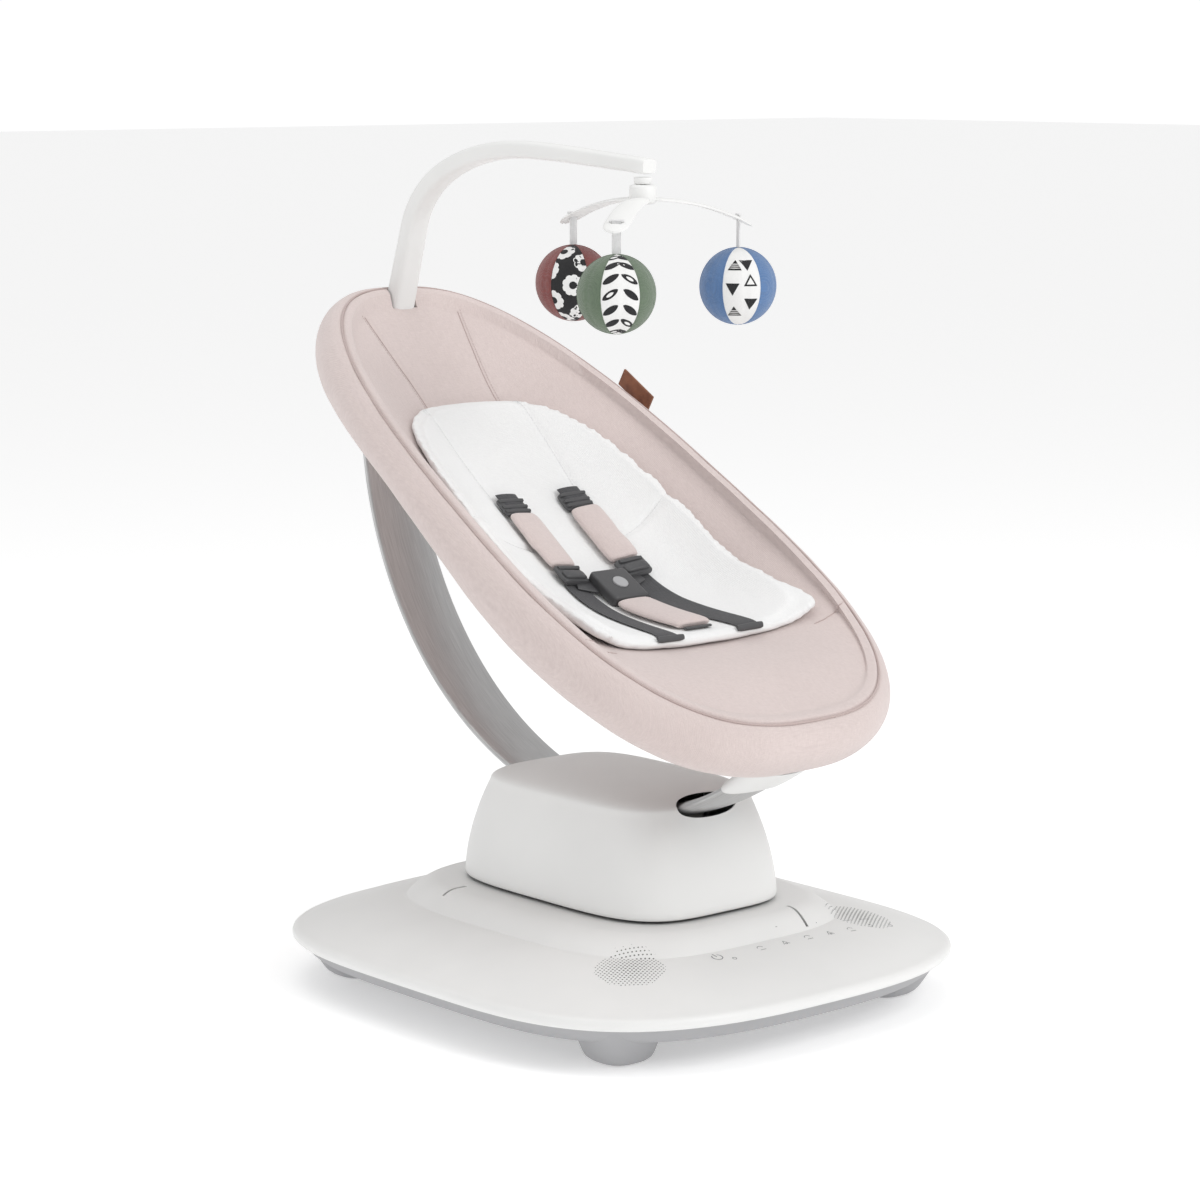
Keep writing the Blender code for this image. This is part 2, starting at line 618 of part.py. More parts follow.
def make_sway_drive(plate):
    pitch = GEAR_MODULE * GEAR_TEETH / 2
    floor = TRAY_BOTTOM + TRAY_WALL + GAP
    low = floor + 0.0012
    middle = low + SWAY_GEAR_WIDTH / 2
    y = SWAY_PINION_Y
    quarter = Matrix.Rotation(math.radians(90), 4, "Z")
    pinion = slab("sway_pinion", gear_outline(GEAR_TEETH), SWAY_GEAR_WIDTH / 2, DARK_PLASTIC,
                  matrix=Matrix.Translation((0, y, middle)) @ quarter)
    join(pinion,
         round_bar("sway_shaft", SHAFT_RADIUS, (0, y, low + 0.0005), (0, y, CARRIAGE_TOP + 0.0080), None,
                   sides=20))
    cut(plate,
        round_bar("sway_shaft_bore", SHAFT_RADIUS + 0.0008, (0, y, 0.02), (0, y, 0.08), None, sides=20))
    motor = round_bar("sway_motor", 0.0115, (0, y, CARRIAGE_TOP + GAP), (0, y, CARRIAGE_TOP + 0.0300),
                      GREY_SHELL, sides=24, edge=0.0015)
    cut(motor,
        round_bar("sway_motor_bore", SHAFT_RADIUS + RUNNING, (0, y, 0.03), (0, y, CARRIAGE_TOP + 0.0085),
                  None, sides=20))
    reach = SWAY + 0.0130
    rack = rack_outline(-reach, reach, 0.0080)
    slab("sway_rack", rack, (SWAY_GEAR_WIDTH + 0.0008) / 2, NYLON,
         matrix=Matrix.Translation((0, y + pitch, floor + 0.0004 + SWAY_GEAR_WIDTH / 2 + 0.0004)) @ quarter)


# ---- housing: the shell, its lifting chassis and the recline lock ----

def housing_share(z):
    """How wide the housing is at a height, as a share of its foot."""
    rise = max(0.0, (z - HOUSING_BOTTOM) / (HOUSING_SHOULDER - HOUSING_BOTTOM))
    return 1 - HOUSING_TAPER * rise ** 1.8


def housing_ring(z, share):
    return level(superellipse(HOUSING_HALF_WIDTH * share, HOUSING_HALF_LENGTH * share, HOUSING_POWER), z)


def make_housing():
    heights = [HOUSING_BOTTOM + (HOUSING_SHOULDER - HOUSING_BOTTOM) * k for k in (0, 0.25, 0.5, 0.7, 0.87,
                                                                                  1.0)]
    rings = [housing_ring(z, housing_share(z)) for z in heights]
    shoulder = housing_share(HOUSING_SHOULDER)
    for turn in (25, 48, 66, 80):
        share = shoulder * (1 - 0.45 * (1 - math.cos(math.radians(turn))) / (1 - math.cos(math.radians(80))))
        rise = (HOUSING_TOP - HOUSING_SHOULDER) * math.sin(math.radians(turn)) * 0.97
        rings.append(housing_ring(HOUSING_SHOULDER + rise, share))
    rings.append([(0, 0, HOUSING_TOP)])
    shell = loft("housing_shell", rings, WHITE_SHELL, close_start=False, wall=HOUSING_WALL)
    for label, start, end in (("front", 14, 42), ("rear", -42, -14)):
        opening = sector(f"{label}_opening", RAIL_INNER - 0.016, RAIL_OUTER + 0.0100, math.radians(start),
                         math.radians(end), RAIL_HALF_WIDTH + 0.0040, None, steps=8, edge=0.008)
        cut(shell, opening)
    cut(shell, round_bar("knob_hole", 0.0045, (0, 0.05, KNOB_Z), (0, 0.2, KNOB_Z), None))


def make_chassis():
    share = housing_share(CHASSIS_Z + CHASSIS_THICKNESS)
    margin = HOUSING_WALL + 2 * SLIDING
    outline = superellipse(HOUSING_HALF_WIDTH * share - margin, HOUSING_HALF_LENGTH * share - margin,
                           HOUSING_POWER, count=40)
    top = CHASSIS_Z + CHASSIS_THICKNESS
    chassis = slab("lift_chassis", outline, CHASSIS_THICKNESS / 2, GREY_SHELL,
                   matrix=Matrix.Translation((0, 0, CHASSIS_Z + CHASSIS_THICKNESS / 2)))
    cheek_inner = RAIL_HALF_WIDTH + 0.0020
    for side, label in ((-1, "left"), (1, "right")):
        low, high = sorted((side * cheek_inner, side * (cheek_inner + CHEEK_THICKNESS)))
        outline = [(-0.092, top - 0.002), (0.092, top - 0.002), (0.070, CHEEK_TOP), (-0.070, CHEEK_TOP)]
        cheek = slab(f"cheek_{label}", outline, (high - low) / 2, None,
                     matrix=Matrix.Translation(((low + high) / 2, 0, 0)) @ FORWARD_PLANE)
        join(chassis, cheek)
    lug = block("lock_lug", (-0.010, 0.1000, KNOB_Z - 0.010), (0.010, 0.1080, CHASSIS_Z + 0.002), None)
    join(chassis, lug)
    cut(chassis,
        round_bar("lock_lug_bore", 0.0030 + RUNNING, (0, 0.05, KNOB_Z), (0, 0.2, KNOB_Z), None, sides=20))
    for side_y, label in ((-1, "front"), (1, "rear")):
        y = side_y * POST_Y
        join(chassis,
             round_bar(f"post_guide_{label}", POST_RADIUS + 0.0030, (0, y, CARRIAGE_TOP + 0.0240),
                       (0, y, top - 0.001), None, sides=24))
        cut(chassis,
            round_bar(f"post_bore_{label}", POST_RADIUS + RUNNING, (0, y, 0.03), (0, y, 0.2), None,
                      sides=24))
    rail_clear = rail_form("rail_underside", GAP, None)
    for side_y, label in ((-1, "front"), (1, "rear")):
        y = side_y * RAIL_OUTER * math.sin(SHOE_ANGLE)
        shoe = block(f"rail_shoe_{label}", (-RAIL_HALF_WIDTH + 0.002, y - 0.009, top + GAP),
                     (RAIL_HALF_WIDTH - 0.002, y + 0.009, top + 0.0235), NYLON)
        cut(shoe, rail_clear)
    brake = block("recline_brake", (-0.016, -0.012, top + GAP), (0.016, 0.012, top + 0.018), RUBBER)
    cut(brake, rail_clear)
    inner = RAIL_INNER - GAP
    keeper_outline = arc(inner, math.radians(-4), math.radians(4), 6) + [(0.020, CHEEK_TOP),
                                                                         (-0.020, CHEEK_TOP)][::-1]
    slab("rail_keeper", keeper_outline, cheek_inner - GAP, NYLON, matrix=FORWARD_PLANE)


def make_lock_knob():
    share = housing_share(KNOB_Z - KNOB_RADIUS - 0.003)
    face = HOUSING_HALF_LENGTH * share + SLIDING
    knob = round_bar("recline_knob", KNOB_RADIUS, (0, face, KNOB_Z), (0, face + KNOB_DEPTH, KNOB_Z),
                     GREY_SHELL, sides=24, end_radius=KNOB_RADIUS - 0.0015, edge=0.0015)
    grip = block("knob_grip", (-0.0035, face + 0.004, KNOB_Z - KNOB_RADIUS - 0.003),
                 (0.0035, face + KNOB_DEPTH + 0.004, KNOB_Z + KNOB_RADIUS + 0.003), None)
    shaft = round_bar("knob_shaft", 0.0030, (0, 0.0990, KNOB_Z), (0, face + 0.004, KNOB_Z), None, sides=20)
    join(knob, grip, shaft)


# ---- rail and its two ends ----

def bar_ring(angle, half_width, half_depth):
    """The oval section of a bar that follows the rail's arc, at one angle from straight down."""
    ring = []
    for x, out in superellipse(half_width, half_depth, RAIL_POWER, count=16):
        radius = RAIL_RADIUS + out
        ring.append((x, -radius * math.sin(angle), PIVOT_Z - radius * math.cos(angle)))
    return ring


def rail_form(name, margin, material):
    """The whole bar, or the room it needs when a margin is given."""
    over = margin / RAIL_RADIUS
    rings = [bar_ring(angle, RAIL_HALF_WIDTH + margin, RAIL_THICKNESS / 2 + margin)
             for angle in spread(RAIL_REAR - over, RAIL_FRONT + over, 40)]
    return loft(name, rings, material)


def make_rail():
    rail_form("seat_rail", 0, RAIL_METAL)
    rings = []
    for share in (0, 0.1, 0.3, 0.5, 0.7, 0.9, 1):
        width, depth = [a + (b - a) * share for a, b in zip(SLEEVE_START_HALF, SLEEVE_END_HALF)]
        rings.append(bar_ring(SLEEVE_START + (SLEEVE_END - SLEEVE_START) * share, width, depth))
    sleeve = loft("rail_sleeve", rings, WHITE_SHELL)
    cut(sleeve, rail_form("sleeve_bore", GAP, None))


def hoop_line(count, inset=HOOP_INSET, height=HOOP_H):
    return [(x, s, height) for x, s in seat_outline(-inset, count)]


def tube(name, points, radius, material, parent=DATUM, closed=False, resolution=2):
    curve = bpy.data.curves.new(name, "CURVE")
    curve.dimensions = "3D"
    curve.bevel_depth = radius
    curve.bevel_resolution = resolution
    curve.use_fill_caps = not closed
    line = curve.splines.new("POLY")
    line.points.add(len(points) - 1)
    for point, at in zip(line.points, points):
        point.co = (*at, 1)
    line.use_cyclic_u = closed
    holder = bpy.data.objects.new(name + "_line", curve)
    CUTTERS.objects.link(holder)
    graph = bpy.context.evaluated_depsgraph_get()
    mesh = bpy.data.meshes.new_from_object(holder.evaluated_get(graph))
    bpy.data.objects.remove(holder)
    shape = bmesh.new()
    shape.from_mesh(mesh)
    bmesh.ops.remove_doubles(shape, verts=shape.verts, dist=1e-6)
    return add(name, mesh_of(name, shape, 50), material, parent)


# ---- seat ----

def seat_outline(out, count=SIDES):
    """The rim's outline, pushed outwards, narrower towards the head."""
    half_length, half_width = SEAT_HALF_LENGTH + out, SEAT_HALF_WIDTH + out
    points = superellipse(half_width, half_length, SEAT_POWER, count=count)
    return [(x * (1 - SEAT_TAPER * s / half_length), s) for x, s in points]


def rim_half_width(s):
    share = min(0.999, abs(s) / SEAT_HALF_LENGTH)
    taper = 1 - SEAT_TAPER * s / SEAT_HALF_LENGTH
    return SEAT_HALF_WIDTH * (1 - share ** SEAT_POWER) ** (1 / SEAT_POWER) * taper


def bowl(x, s):
    """Depth of the seat's fabric under the rim plane: deepest under the child, shallow at the foot."""
    if s > BOWL_LOW_S:
        along = 1 - ((s - BOWL_LOW_S) / (SEAT_HALF_LENGTH - BOWL_LOW_S)) ** 1.7
    else:
        share = min(1.0, (BOWL_LOW_S - s) / 0.22)
        along = 1 - share * share * (3 - 2 * share)
    across = 1 - min(1.0, abs(x) / rim_half_width(s)) ** 2.4
    return -BOWL_DEPTH * max(0.0, along) * across


def hem_share(s):
    """How deep the side band hangs at a place along the seat, as a share of its full depth."""
    along = min(1.0, max(0.0, (s + 0.15) / 0.48))
    return 1 - HEM_RISE * math.sin(math.pi * along) ** 2


def make_seat_cover():
    centre = Vector((0, BOWL_LOW_S))
    rim = seat_outline(0)
    rings = [[(0, BOWL_LOW_S, bowl(0, BOWL_LOW_S))]]
    for share in (0.16, 0.32, 0.48, 0.62, 0.74, 0.84, 0.92):
        ring = []
        for x, s in rim:
            at = centre + (Vector((x, s)) - centre) * share
            ring.append((at.x, at.y, bowl(at.x, at.y)))
        rings.append(ring)
    profile = ((-0.010, 0.0030), (-0.003, 0.0032), (0.001, 0.0010), (0.010, -0.0040),
               (BAND_OUT - 0.001, -0.0160),
               (BAND_OUT, -0.0290), (BAND_OUT - 0.005, -0.0430), (0.006, -BAND_DEPTH + 0.001), (-0.004,
                                                                                                -BAND_DEPTH))
    for out, h in profile:
        rings.append([(x, s, h * hem_share(s) if h < -0.01 else h) for x, s in seat_outline(out)])
    cover = loft("seat_cover", rings, PINK_CLOTH, SEAT, close_end=False, wall=-CLOTH)
    cover.modifiers["wall"].use_rim = True
    arm_hole = block("arm_hole", (-ARM_HALF_WIDTH - 0.001, 0.2960, 0.595),
                     (ARM_HALF_WIDTH + 0.001, 0.3320, 0.66), None)
    rail_hole = sector("rail_hole", RAIL_INNER - 0.0060, RAIL_OUTER + 0.0060, math.radians(34),
                       math.radians(44.4), RAIL_HALF_WIDTH + 0.0030, None, steps=6)
    cut(cover, arm_hole, rail_hole)


def make_frame():
    hoop = tube("seat_hoop", hoop_line(60), HOOP_RADIUS, STEEL, SEAT, closed=True)
    groove = tube("hoop_groove", hoop_line(60), HOOP_RADIUS + GAP, None, SEAT, closed=True)
    inner = RAIL_INNER
    head = sector("head_bracket", inner - 0.004, RAIL_OUTER + 0.004, HEAD_BRACKET_END, math.radians(-93),
                  0.0240, DARK_PLASTIC, steps=6, edge=0.003)
    foot = sector("foot_bracket", inner - 0.004, RAIL_OUTER + 0.004, RAIL_FRONT + 0.008,
                  math.radians(44.1), 0.0300, DARK_PLASTIC, steps=4, edge=0.003)
    rail_clear = rail_form("head_rail_clear", GAP, None)
    cut(head, rail_clear, groove)
    cut(foot, groove)
    return hoop


def make_insert():
    """The padded liner: a sheet that follows the bowl, standing clear of it by a hair."""
    lift = INSERT_LIFT
    rings = [[(0, INSERT_S, bowl(0, INSERT_S) + lift)]]
    right = smooth_line(INSERT_EDGE, 2)
    outline = right + [(-x, s) for x, s in right[-2:0:-1]]
    for share in (0.2, 0.38, 0.54, 0.68, 0.8, 0.91, 1.0):
        ring = []
        for x, s in outline:
            at = Vector((x * share, INSERT_S + (s - INSERT_S) * share))
            ring.append((at.x, at.y, bowl(at.x, at.y) + lift))
        rings.append(ring)
    liner = loft("seat_insert", rings, WHITE_CLOTH, SEAT, close_end=False, wall=INSERT_THICKNESS)
    return liner


# ---- harness, lying on the insert ----

def on_insert(s, extra=0.0, x=0.0):
    return bowl(x, s) + INSERT_LIFT + INSERT_THICKNESS + STRAP_LIFT + extra


def ribbon(name, stations, thickness, half, material, at_x, edge=0.0):
    """A strip along the seat through (s, extra height) stations, bent across its width like the liner."""
    columns = [at_x + half * share for share in (-1, -0.33, 0.33, 1)]
    rings = []
    for s, extra in stations:
        lower = [(x, s, on_insert(s, extra, x)) for x in columns]
        rings.append(lower + [(x, s, h + thickness) for x, s, h in reversed(lower)])
    made = loft(name, rings, material, SEAT)
    return bevel(made, edge, 1, 60) if edge else made


def spread(start, end, steps):
    return [start + (end - start) * i / steps for i in range(steps + 1)]


def make_harness():
    for side, label in ((-1, "left"), (1, "right")):
        x = side * STRAP_X
        top = PAD_TOP_S + 0.0220
        adjuster = [(s, 0) for s in spread(PAD_TOP_S + GAP * 2, top, 3)]
        ribbon(f"strap_adjuster_{label}", adjuster, 0.0050, WEBBING_HALF_WIDTH + 0.003, DARK_PLASTIC, x,
               edge=0.001)
        pad = [(s, 0.0030 + 0.006 * math.sin(math.pi * k / 6) ** 2) for k,
               s in enumerate(spread(PAD_BOTTOM_S, PAD_TOP_S, 6))]
        ribbon(f"shoulder_pad_{label}", pad, PAD_THICKNESS, PAD_HALF_WIDTH, PINK_CLOTH, x, edge=0.003)
        slider_low = PAD_BOTTOM_S - 0.0230
        slider = [(s, 0.0050) for s in spread(slider_low, PAD_BOTTOM_S - GAP * 2, 3)]
        ribbon(f"strap_slider_{label}", slider, 0.0070, WEBBING_HALF_WIDTH + 0.003, DARK_PLASTIC, x,
               edge=0.001)
        waist = [(s, 0.0014 if s > -0.1 else 0) for s in spread(-0.1700, slider_low - GAP * 2, 8)]
        ribbon(f"waist_strap_{label}", waist, WEBBING, WEBBING_HALF_WIDTH, WEBBING_CLOTH,
               side * (STRAP_X + 0.006))
    low = on_insert(BUCKLE_S + BUCKLE_HALF_LENGTH, 0.0035)
    buckle = block("harness_buckle", (-BUCKLE_HALF_WIDTH, BUCKLE_S - BUCKLE_HALF_LENGTH, low),
                   (BUCKLE_HALF_WIDTH, BUCKLE_S + BUCKLE_HALF_LENGTH,
                    low + BUCKLE_THICKNESS), DARK_PLASTIC, SEAT, edge=0.003)
    top = low + BUCKLE_THICKNESS
    well = round_bar("button_well", BUTTON_RADIUS + GAP, (0, BUCKLE_S, top - BUTTON_TRAVEL - 0.0030),
                     (0, BUCKLE_S, top + 0.01), None, SEAT, sides=24)
    cut(buckle, well)
    round_bar("release_button", BUTTON_RADIUS, (0, BUCKLE_S, top - 0.0024), (0, BUCKLE_S, top + 0.0012),
              GREY_SHELL, SEAT, sides=24, edge=0.0006)
    crotch = [(s, 0) for s in spread(-0.1720, BUCKLE_S - BUCKLE_HALF_LENGTH - GAP * 2, 5)]
    ribbon("crotch_pad", crotch, PAD_THICKNESS, 0.0210, PINK_CLOTH, 0, edge=0.003)


def make_tag():
    tag_s = 0.1480
    x = rim_half_width(tag_s) + 0.0165
    block("leather_tag", (x + 0.0054, tag_s - 0.0240, -0.0120), (x + 0.0078, tag_s + 0.0240, 0.0060),
          LEATHER, SEAT, edge=0.0008)


# ---- mobile ----

def smooth_line(points, steps=4):
    """A Catmull-Rom curve through the points."""
    line = []
    ends = [points[0], *points, points[-1]]
    for a, b, c, d in zip(ends, ends[1:], ends[2:], ends[3:]):
        for i in range(steps):
            t = i / steps
            shares = (-t + 2 * t ** 2 - t ** 3, 2 - 5 * t ** 2 + 3 * t ** 3,
                      t + 4 * t ** 2 - 3 * t ** 3, t ** 3 - t ** 2)
            line.append(tuple(sum(k * v for k, v in zip(shares, along)) / 2 for along in zip(a, b, c, d)))
    line.append(points[-1])
    return line


def make_arm():
    line = smooth_line(ARM_LINE, 2)
    left, right = [], []
    for i, (y, z) in enumerate(line):
        before, after = line[max(0, i - 1)], line[min(len(line) - 1, i + 1)]
        direction = Vector((after[0] - before[0], after[1] - before[1])).normalized()
        normal = Vector((-direction.y, direction.x)) * ARM_THICKNESS / 2
        left.append((y + normal.x, z + normal.y))
        right.append((y - normal.x, z - normal.y))
    arm = slab("mobile_arm", left + right[::-1], ARM_HALF_WIDTH, WHITE_SHELL, matrix=FORWARD_PLANE,
               edge=0.003)
    socket_clear = tube("arm_hoop_clear", hoop_line(60), HOOP_RADIUS + GAP, None, SEAT, closed=True)
    inner = RAIL_INNER - 0.004 - GAP
    seat_clear = sector("arm_bracket_clear", inner - 0.02, RAIL_OUTER + 0.03, HEAD_BRACKET_END - GAP,
                        math.radians(-93), 0.0300, None, steps=6)
    cut(arm, socket_clear, seat_clear)
    under = ARM_LINE[-1][1] - ARM_THICKNESS / 2 - 0.0010
    post = round_bar("mobile_post", MOBILE_POST_RADIUS, (0, MOBILE_Y, HUB_TOP + GAP * 2),
                     (0, MOBILE_Y, under), WHITE_SHELL, sides=24)
    join(post,
         round_bar("mobile_spindle", 0.0030, (0, MOBILE_Y, HUB_BOTTOM + 0.0030),
                   (0, MOBILE_Y, HUB_TOP + 0.002), None, sides=24))


def blade_drop(reach):
    return -BLADE_DROP * (reach / BLADE_REACH) ** 2.2


def make_spider():
    hub = round_bar("mobile_spider", HUB_RADIUS, (0, MOBILE_Y, HUB_BOTTOM), (0, MOBILE_Y, HUB_TOP),
                    WHITE_SHELL, sides=24, edge=0.0015)
    top = HUB_BOTTOM + 0.0050
    stations = [(0.006, 0.55), (0.014, 0.85), (0.024, 1), (0.040, 1), (0.056, 1), (0.070, 1), (0.082, 1),
                (0.092, 1), (0.097, 0.78), (BLADE_REACH, 0.35)]
    tip_height = top + blade_drop(BALL_REACH) - BLADE_THICKNESS / 2
    for turn, colour in zip(BALL_TURNS, ("red", "blue", "green")):
        about = Matrix.Translation((0, MOBILE_Y, 0)) @ Matrix.Rotation(math.radians(turn - 90), 4, "Z")
        sections = []
        for reach, share in stations:
            half, high = BLADE_HALF_WIDTH * share, top + blade_drop(reach)
            low = high - BLADE_THICKNESS
            sections.append([about @ Vector((x, reach, z)) for x,
                             z in ((-half, low), (half, low), (half, high), (-half, high))])
        join(hub, loft(f"blade_{colour}", sections, None))
        slot = block(f"slot_{colour}", (-TAPE_HALF_WIDTH - 0.0008, BALL_REACH - TAPE_SLOT, 0.66),
                     (TAPE_HALF_WIDTH + 0.0008, BALL_REACH + TAPE_SLOT, 0.74), None)
        slot.matrix_basis = about @ slot.matrix_basis
        cut(hub, slot)
    cut(hub,
        round_bar("spindle_bore", 0.0030 + RUNNING, (0, MOBILE_Y, HUB_BOTTOM + 0.0026),
                  (0, MOBILE_Y, HUB_TOP + 0.01), None, sides=24))
    return tip_height


def make_balls(tip_height):
    for turn, colour, cloth in zip(BALL_TURNS, ("red", "blue", "green"),
                                   (RED_CLOTH, BLUE_CLOTH, GREEN_CLOTH)):
        about = Matrix.Translation((0, MOBILE_Y, 0)) @ Matrix.Rotation(math.radians(turn - 90), 4, "Z")
        shape = bmesh.new()
        bmesh.ops.create_uvsphere(shape, u_segments=20, v_segments=12, radius=BALL_RADIUS)
        at = about @ Vector((0, BALL_REACH, BALL_Z))
        add(f"ball_{colour}", mesh_of("ball", shape, 50), cloth, matrix=Matrix.Translation(at))
        tape = block(f"ball_strap_{colour}",
                     (-TAPE_HALF_WIDTH, BALL_REACH - TAPE_THICKNESS / 2, BALL_Z + BALL_RADIUS + GAP),
                     (TAPE_HALF_WIDTH, BALL_REACH + TAPE_THICKNESS / 2,
                      tip_height + TAPE_BAR_RISE), WHITE_CLOTH)
        tape.matrix_basis = about @ tape.matrix_basis
        bar = round_bar(f"tape_bar_{colour}", 0.0012,
                        (-TAPE_HALF_WIDTH - 0.0028, BALL_REACH, tip_height + TAPE_BAR_RISE),
                        (TAPE_HALF_WIDTH + 0.0028, BALL_REACH, tip_height + TAPE_BAR_RISE), None, sides=12)
        bar.matrix_basis = about @ bar.matrix_basis
        join(tape, bar)


def centre_on_floor():
    """Moves the whole swing so that its box stands centred over the origin."""
    bpy.context.view_layer.update()
    graph = bpy.context.evaluated_depsgraph_get()
    depths = []
    for part in PARTS.objects:
        if part.type != "EMPTY":
            seen = part.evaluated_get(graph)
            mesh = seen.to_mesh()
            depths += [(seen.matrix_world @ vertex.co).y for vertex in mesh.vertices]
            seen.to_mesh_clear()
    DATUM.location = (0, -(min(depths) + max(depths)) / 2, 0)
    bpy.context.view_layer.update()


base_tray = make_tray()
make_cover()
make_electronics()
carriage_plate = make_carriage(base_tray)
make_lift_drive()
make_spring()
make_sway_drive(carriage_plate)
make_housing()
make_chassis()
make_lock_knob()
make_rail()
make_seat_cover()
make_frame()
make_insert()
make_harness()
make_tag()
make_arm()
make_balls(make_spider())
centre_on_floor()
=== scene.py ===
import json
import math

import bmesh
import bpy
import numpy as np
from mathutils import Matrix, Vector, noise
from mathutils.bvhtree import BVHTree


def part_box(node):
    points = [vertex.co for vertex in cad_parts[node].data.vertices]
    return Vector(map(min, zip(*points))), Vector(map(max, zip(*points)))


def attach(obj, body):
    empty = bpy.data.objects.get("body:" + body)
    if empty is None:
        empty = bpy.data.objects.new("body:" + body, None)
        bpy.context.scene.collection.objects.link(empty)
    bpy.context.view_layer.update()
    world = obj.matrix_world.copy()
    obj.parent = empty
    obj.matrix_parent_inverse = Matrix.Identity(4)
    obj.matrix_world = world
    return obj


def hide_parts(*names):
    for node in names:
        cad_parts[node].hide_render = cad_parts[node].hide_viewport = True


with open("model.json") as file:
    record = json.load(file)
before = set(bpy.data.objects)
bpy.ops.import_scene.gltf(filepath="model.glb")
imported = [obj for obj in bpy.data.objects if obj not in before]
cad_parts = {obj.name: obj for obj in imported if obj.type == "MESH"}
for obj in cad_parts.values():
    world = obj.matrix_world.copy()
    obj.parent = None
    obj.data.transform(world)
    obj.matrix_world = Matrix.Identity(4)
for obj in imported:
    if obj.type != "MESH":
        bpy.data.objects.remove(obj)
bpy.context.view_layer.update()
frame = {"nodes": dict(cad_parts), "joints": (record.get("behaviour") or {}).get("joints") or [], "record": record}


# ---- Room: camera, floor and lights ----
# A still-life set: one long lens looking down a little at the swing's left front corner, a pale seamless
# floor, and large soft lights so that the white plastic shades gently.

floor_low, floor_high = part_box("base_cover")
BASE_Y = (floor_low.y + floor_high.y) / 2
CAMERA_AT = Vector((-2.0092, BASE_Y - 2.2861, 0.8413))
CAMERA_AIM = Vector((0.0551, BASE_Y + 0.0896, 0.3380))
FLOOR_REACH = 30.0
ROOM_LIGHT = 0.65          # the light that the room sheds on everything
ROOM_BRIGHTER = 0.37       # how much brighter its walls look to the camera
LIGHTS = (("key", (0.6, -2.4, 2.2), 1.6, 32), ("top", (-0.3, 0.4, 2.8), 2.2, 17),
          ("left_fill", (-2.6, 0.2, 0.9), 1.8, 5))
LIT_POINT = Vector((0, 0, 0.35))


def add(name, data):
    """A new object at the origin, in the scene."""
    made = bpy.data.objects.new(name, data)
    bpy.context.scene.collection.objects.link(made)
    return made


def mesh_of(shape, name):
    """Keeps a working shape as a mesh."""
    mesh = bpy.data.meshes.new(name)
    shape.to_mesh(mesh)
    shape.free()
    return mesh


def look(thing, at, aim):
    thing.location = at
    thing.rotation_euler = (aim - at).to_track_quat("-Z", "Y").to_euler()


lens = bpy.data.cameras.new("camera")
lens.lens = 102.7
lens.sensor_width = 36
camera = add("camera", lens)
look(camera, CAMERA_AT, CAMERA_AIM)
bpy.context.scene.camera = camera

sheet = bmesh.new()
bmesh.ops.create_grid(sheet, x_segments=2, y_segments=2, size=FLOOR_REACH)
sheet_mesh = mesh_of(sheet, "studio_floor")
studio_floor = add("studio_floor", sheet_mesh)
paper = bpy.data.materials.new("pale_paper")
paper.use_nodes = True
for setting, value in (("Base Color", (0.90, 0.90, 0.90, 1)), ("Roughness", 0.9),
                       ("Emission Color", (1.0, 1.0, 1.0, 1)), ("Emission Strength", 0.32)):
    paper.node_tree.nodes["Principled BSDF"].inputs[setting].default_value = value
sheet_mesh.materials.append(paper)

sky = bpy.data.worlds.new("soft_room")
sky.use_nodes = True
sky.node_tree.nodes["Background"].inputs["Color"].default_value = (1.0, 1.0, 1.0, 1)
seen = sky.node_tree.nodes.new("ShaderNodeLightPath")
glow = sky.node_tree.nodes.new("ShaderNodeMath")
glow.operation = "MULTIPLY_ADD"
glow.inputs[1].default_value = ROOM_BRIGHTER
glow.inputs[2].default_value = ROOM_LIGHT
sky.node_tree.links.new(seen.outputs["Is Camera Ray"], glow.inputs[0])
sky.node_tree.links.new(glow.outputs["Value"], sky.node_tree.nodes["Background"].inputs["Strength"])
bpy.context.scene.world = sky
bpy.context.scene.view_settings.view_transform = "Standard"

for name, at, size, power in LIGHTS:
    soft = bpy.data.lights.new(name, "AREA")
    soft.size = size
    soft.energy = power
    look(add(name, soft), Vector(at), LIT_POINT)


# ---- Base cover ----
# One satin white moulding over the whole base: a shallow dome that climbs to a raised collar round the
# housing, with a rolled rim and two thin drain slots through the collar's top edge.

PLASTIC_WHITE = (0.83, 0.83, 0.82)
SIDES = 176


def principled(name, roughness, metallic=0.0):
    """A material with its shader's plain settings, ready for colour and surface detail."""
    made = bpy.data.materials.new(name)
    made.use_nodes = True
    shader = made.node_tree.nodes["Principled BSDF"]
    shader.inputs["Roughness"].default_value = roughness
    shader.inputs["Metallic"].default_value = metallic
    return made


def cloudy(made, scale, stretch=(1, 1, 1), detail=3.0):
    """A noise over the piece's own coordinates; returns its strength output."""
    tree = made.node_tree
    where = tree.nodes.new("ShaderNodeTexCoord")
    mapping = tree.nodes.new("ShaderNodeMapping")
    mapping.inputs["Scale"].default_value = stretch
    field = tree.nodes.new("ShaderNodeTexNoise")
    field.inputs["Scale"].default_value = scale
    field.inputs["Detail"].default_value = detail
    tree.links.new(where.outputs["Object"], mapping.inputs["Vector"])
    tree.links.new(mapping.outputs["Vector"], field.inputs["Vector"])
    return field.outputs["Fac"]


def blend_colours(made, strength, first, second, low=0.35, high=0.65):
    ramp = made.node_tree.nodes.new("ShaderNodeValToRGB")
    ramp.color_ramp.elements[0].position = low
    ramp.color_ramp.elements[0].color = (*first, 1)
    ramp.color_ramp.elements[1].position = high
    ramp.color_ramp.elements[1].color = (*second, 1)
    made.node_tree.links.new(strength, ramp.inputs["Fac"])
    return ramp.outputs["Color"]


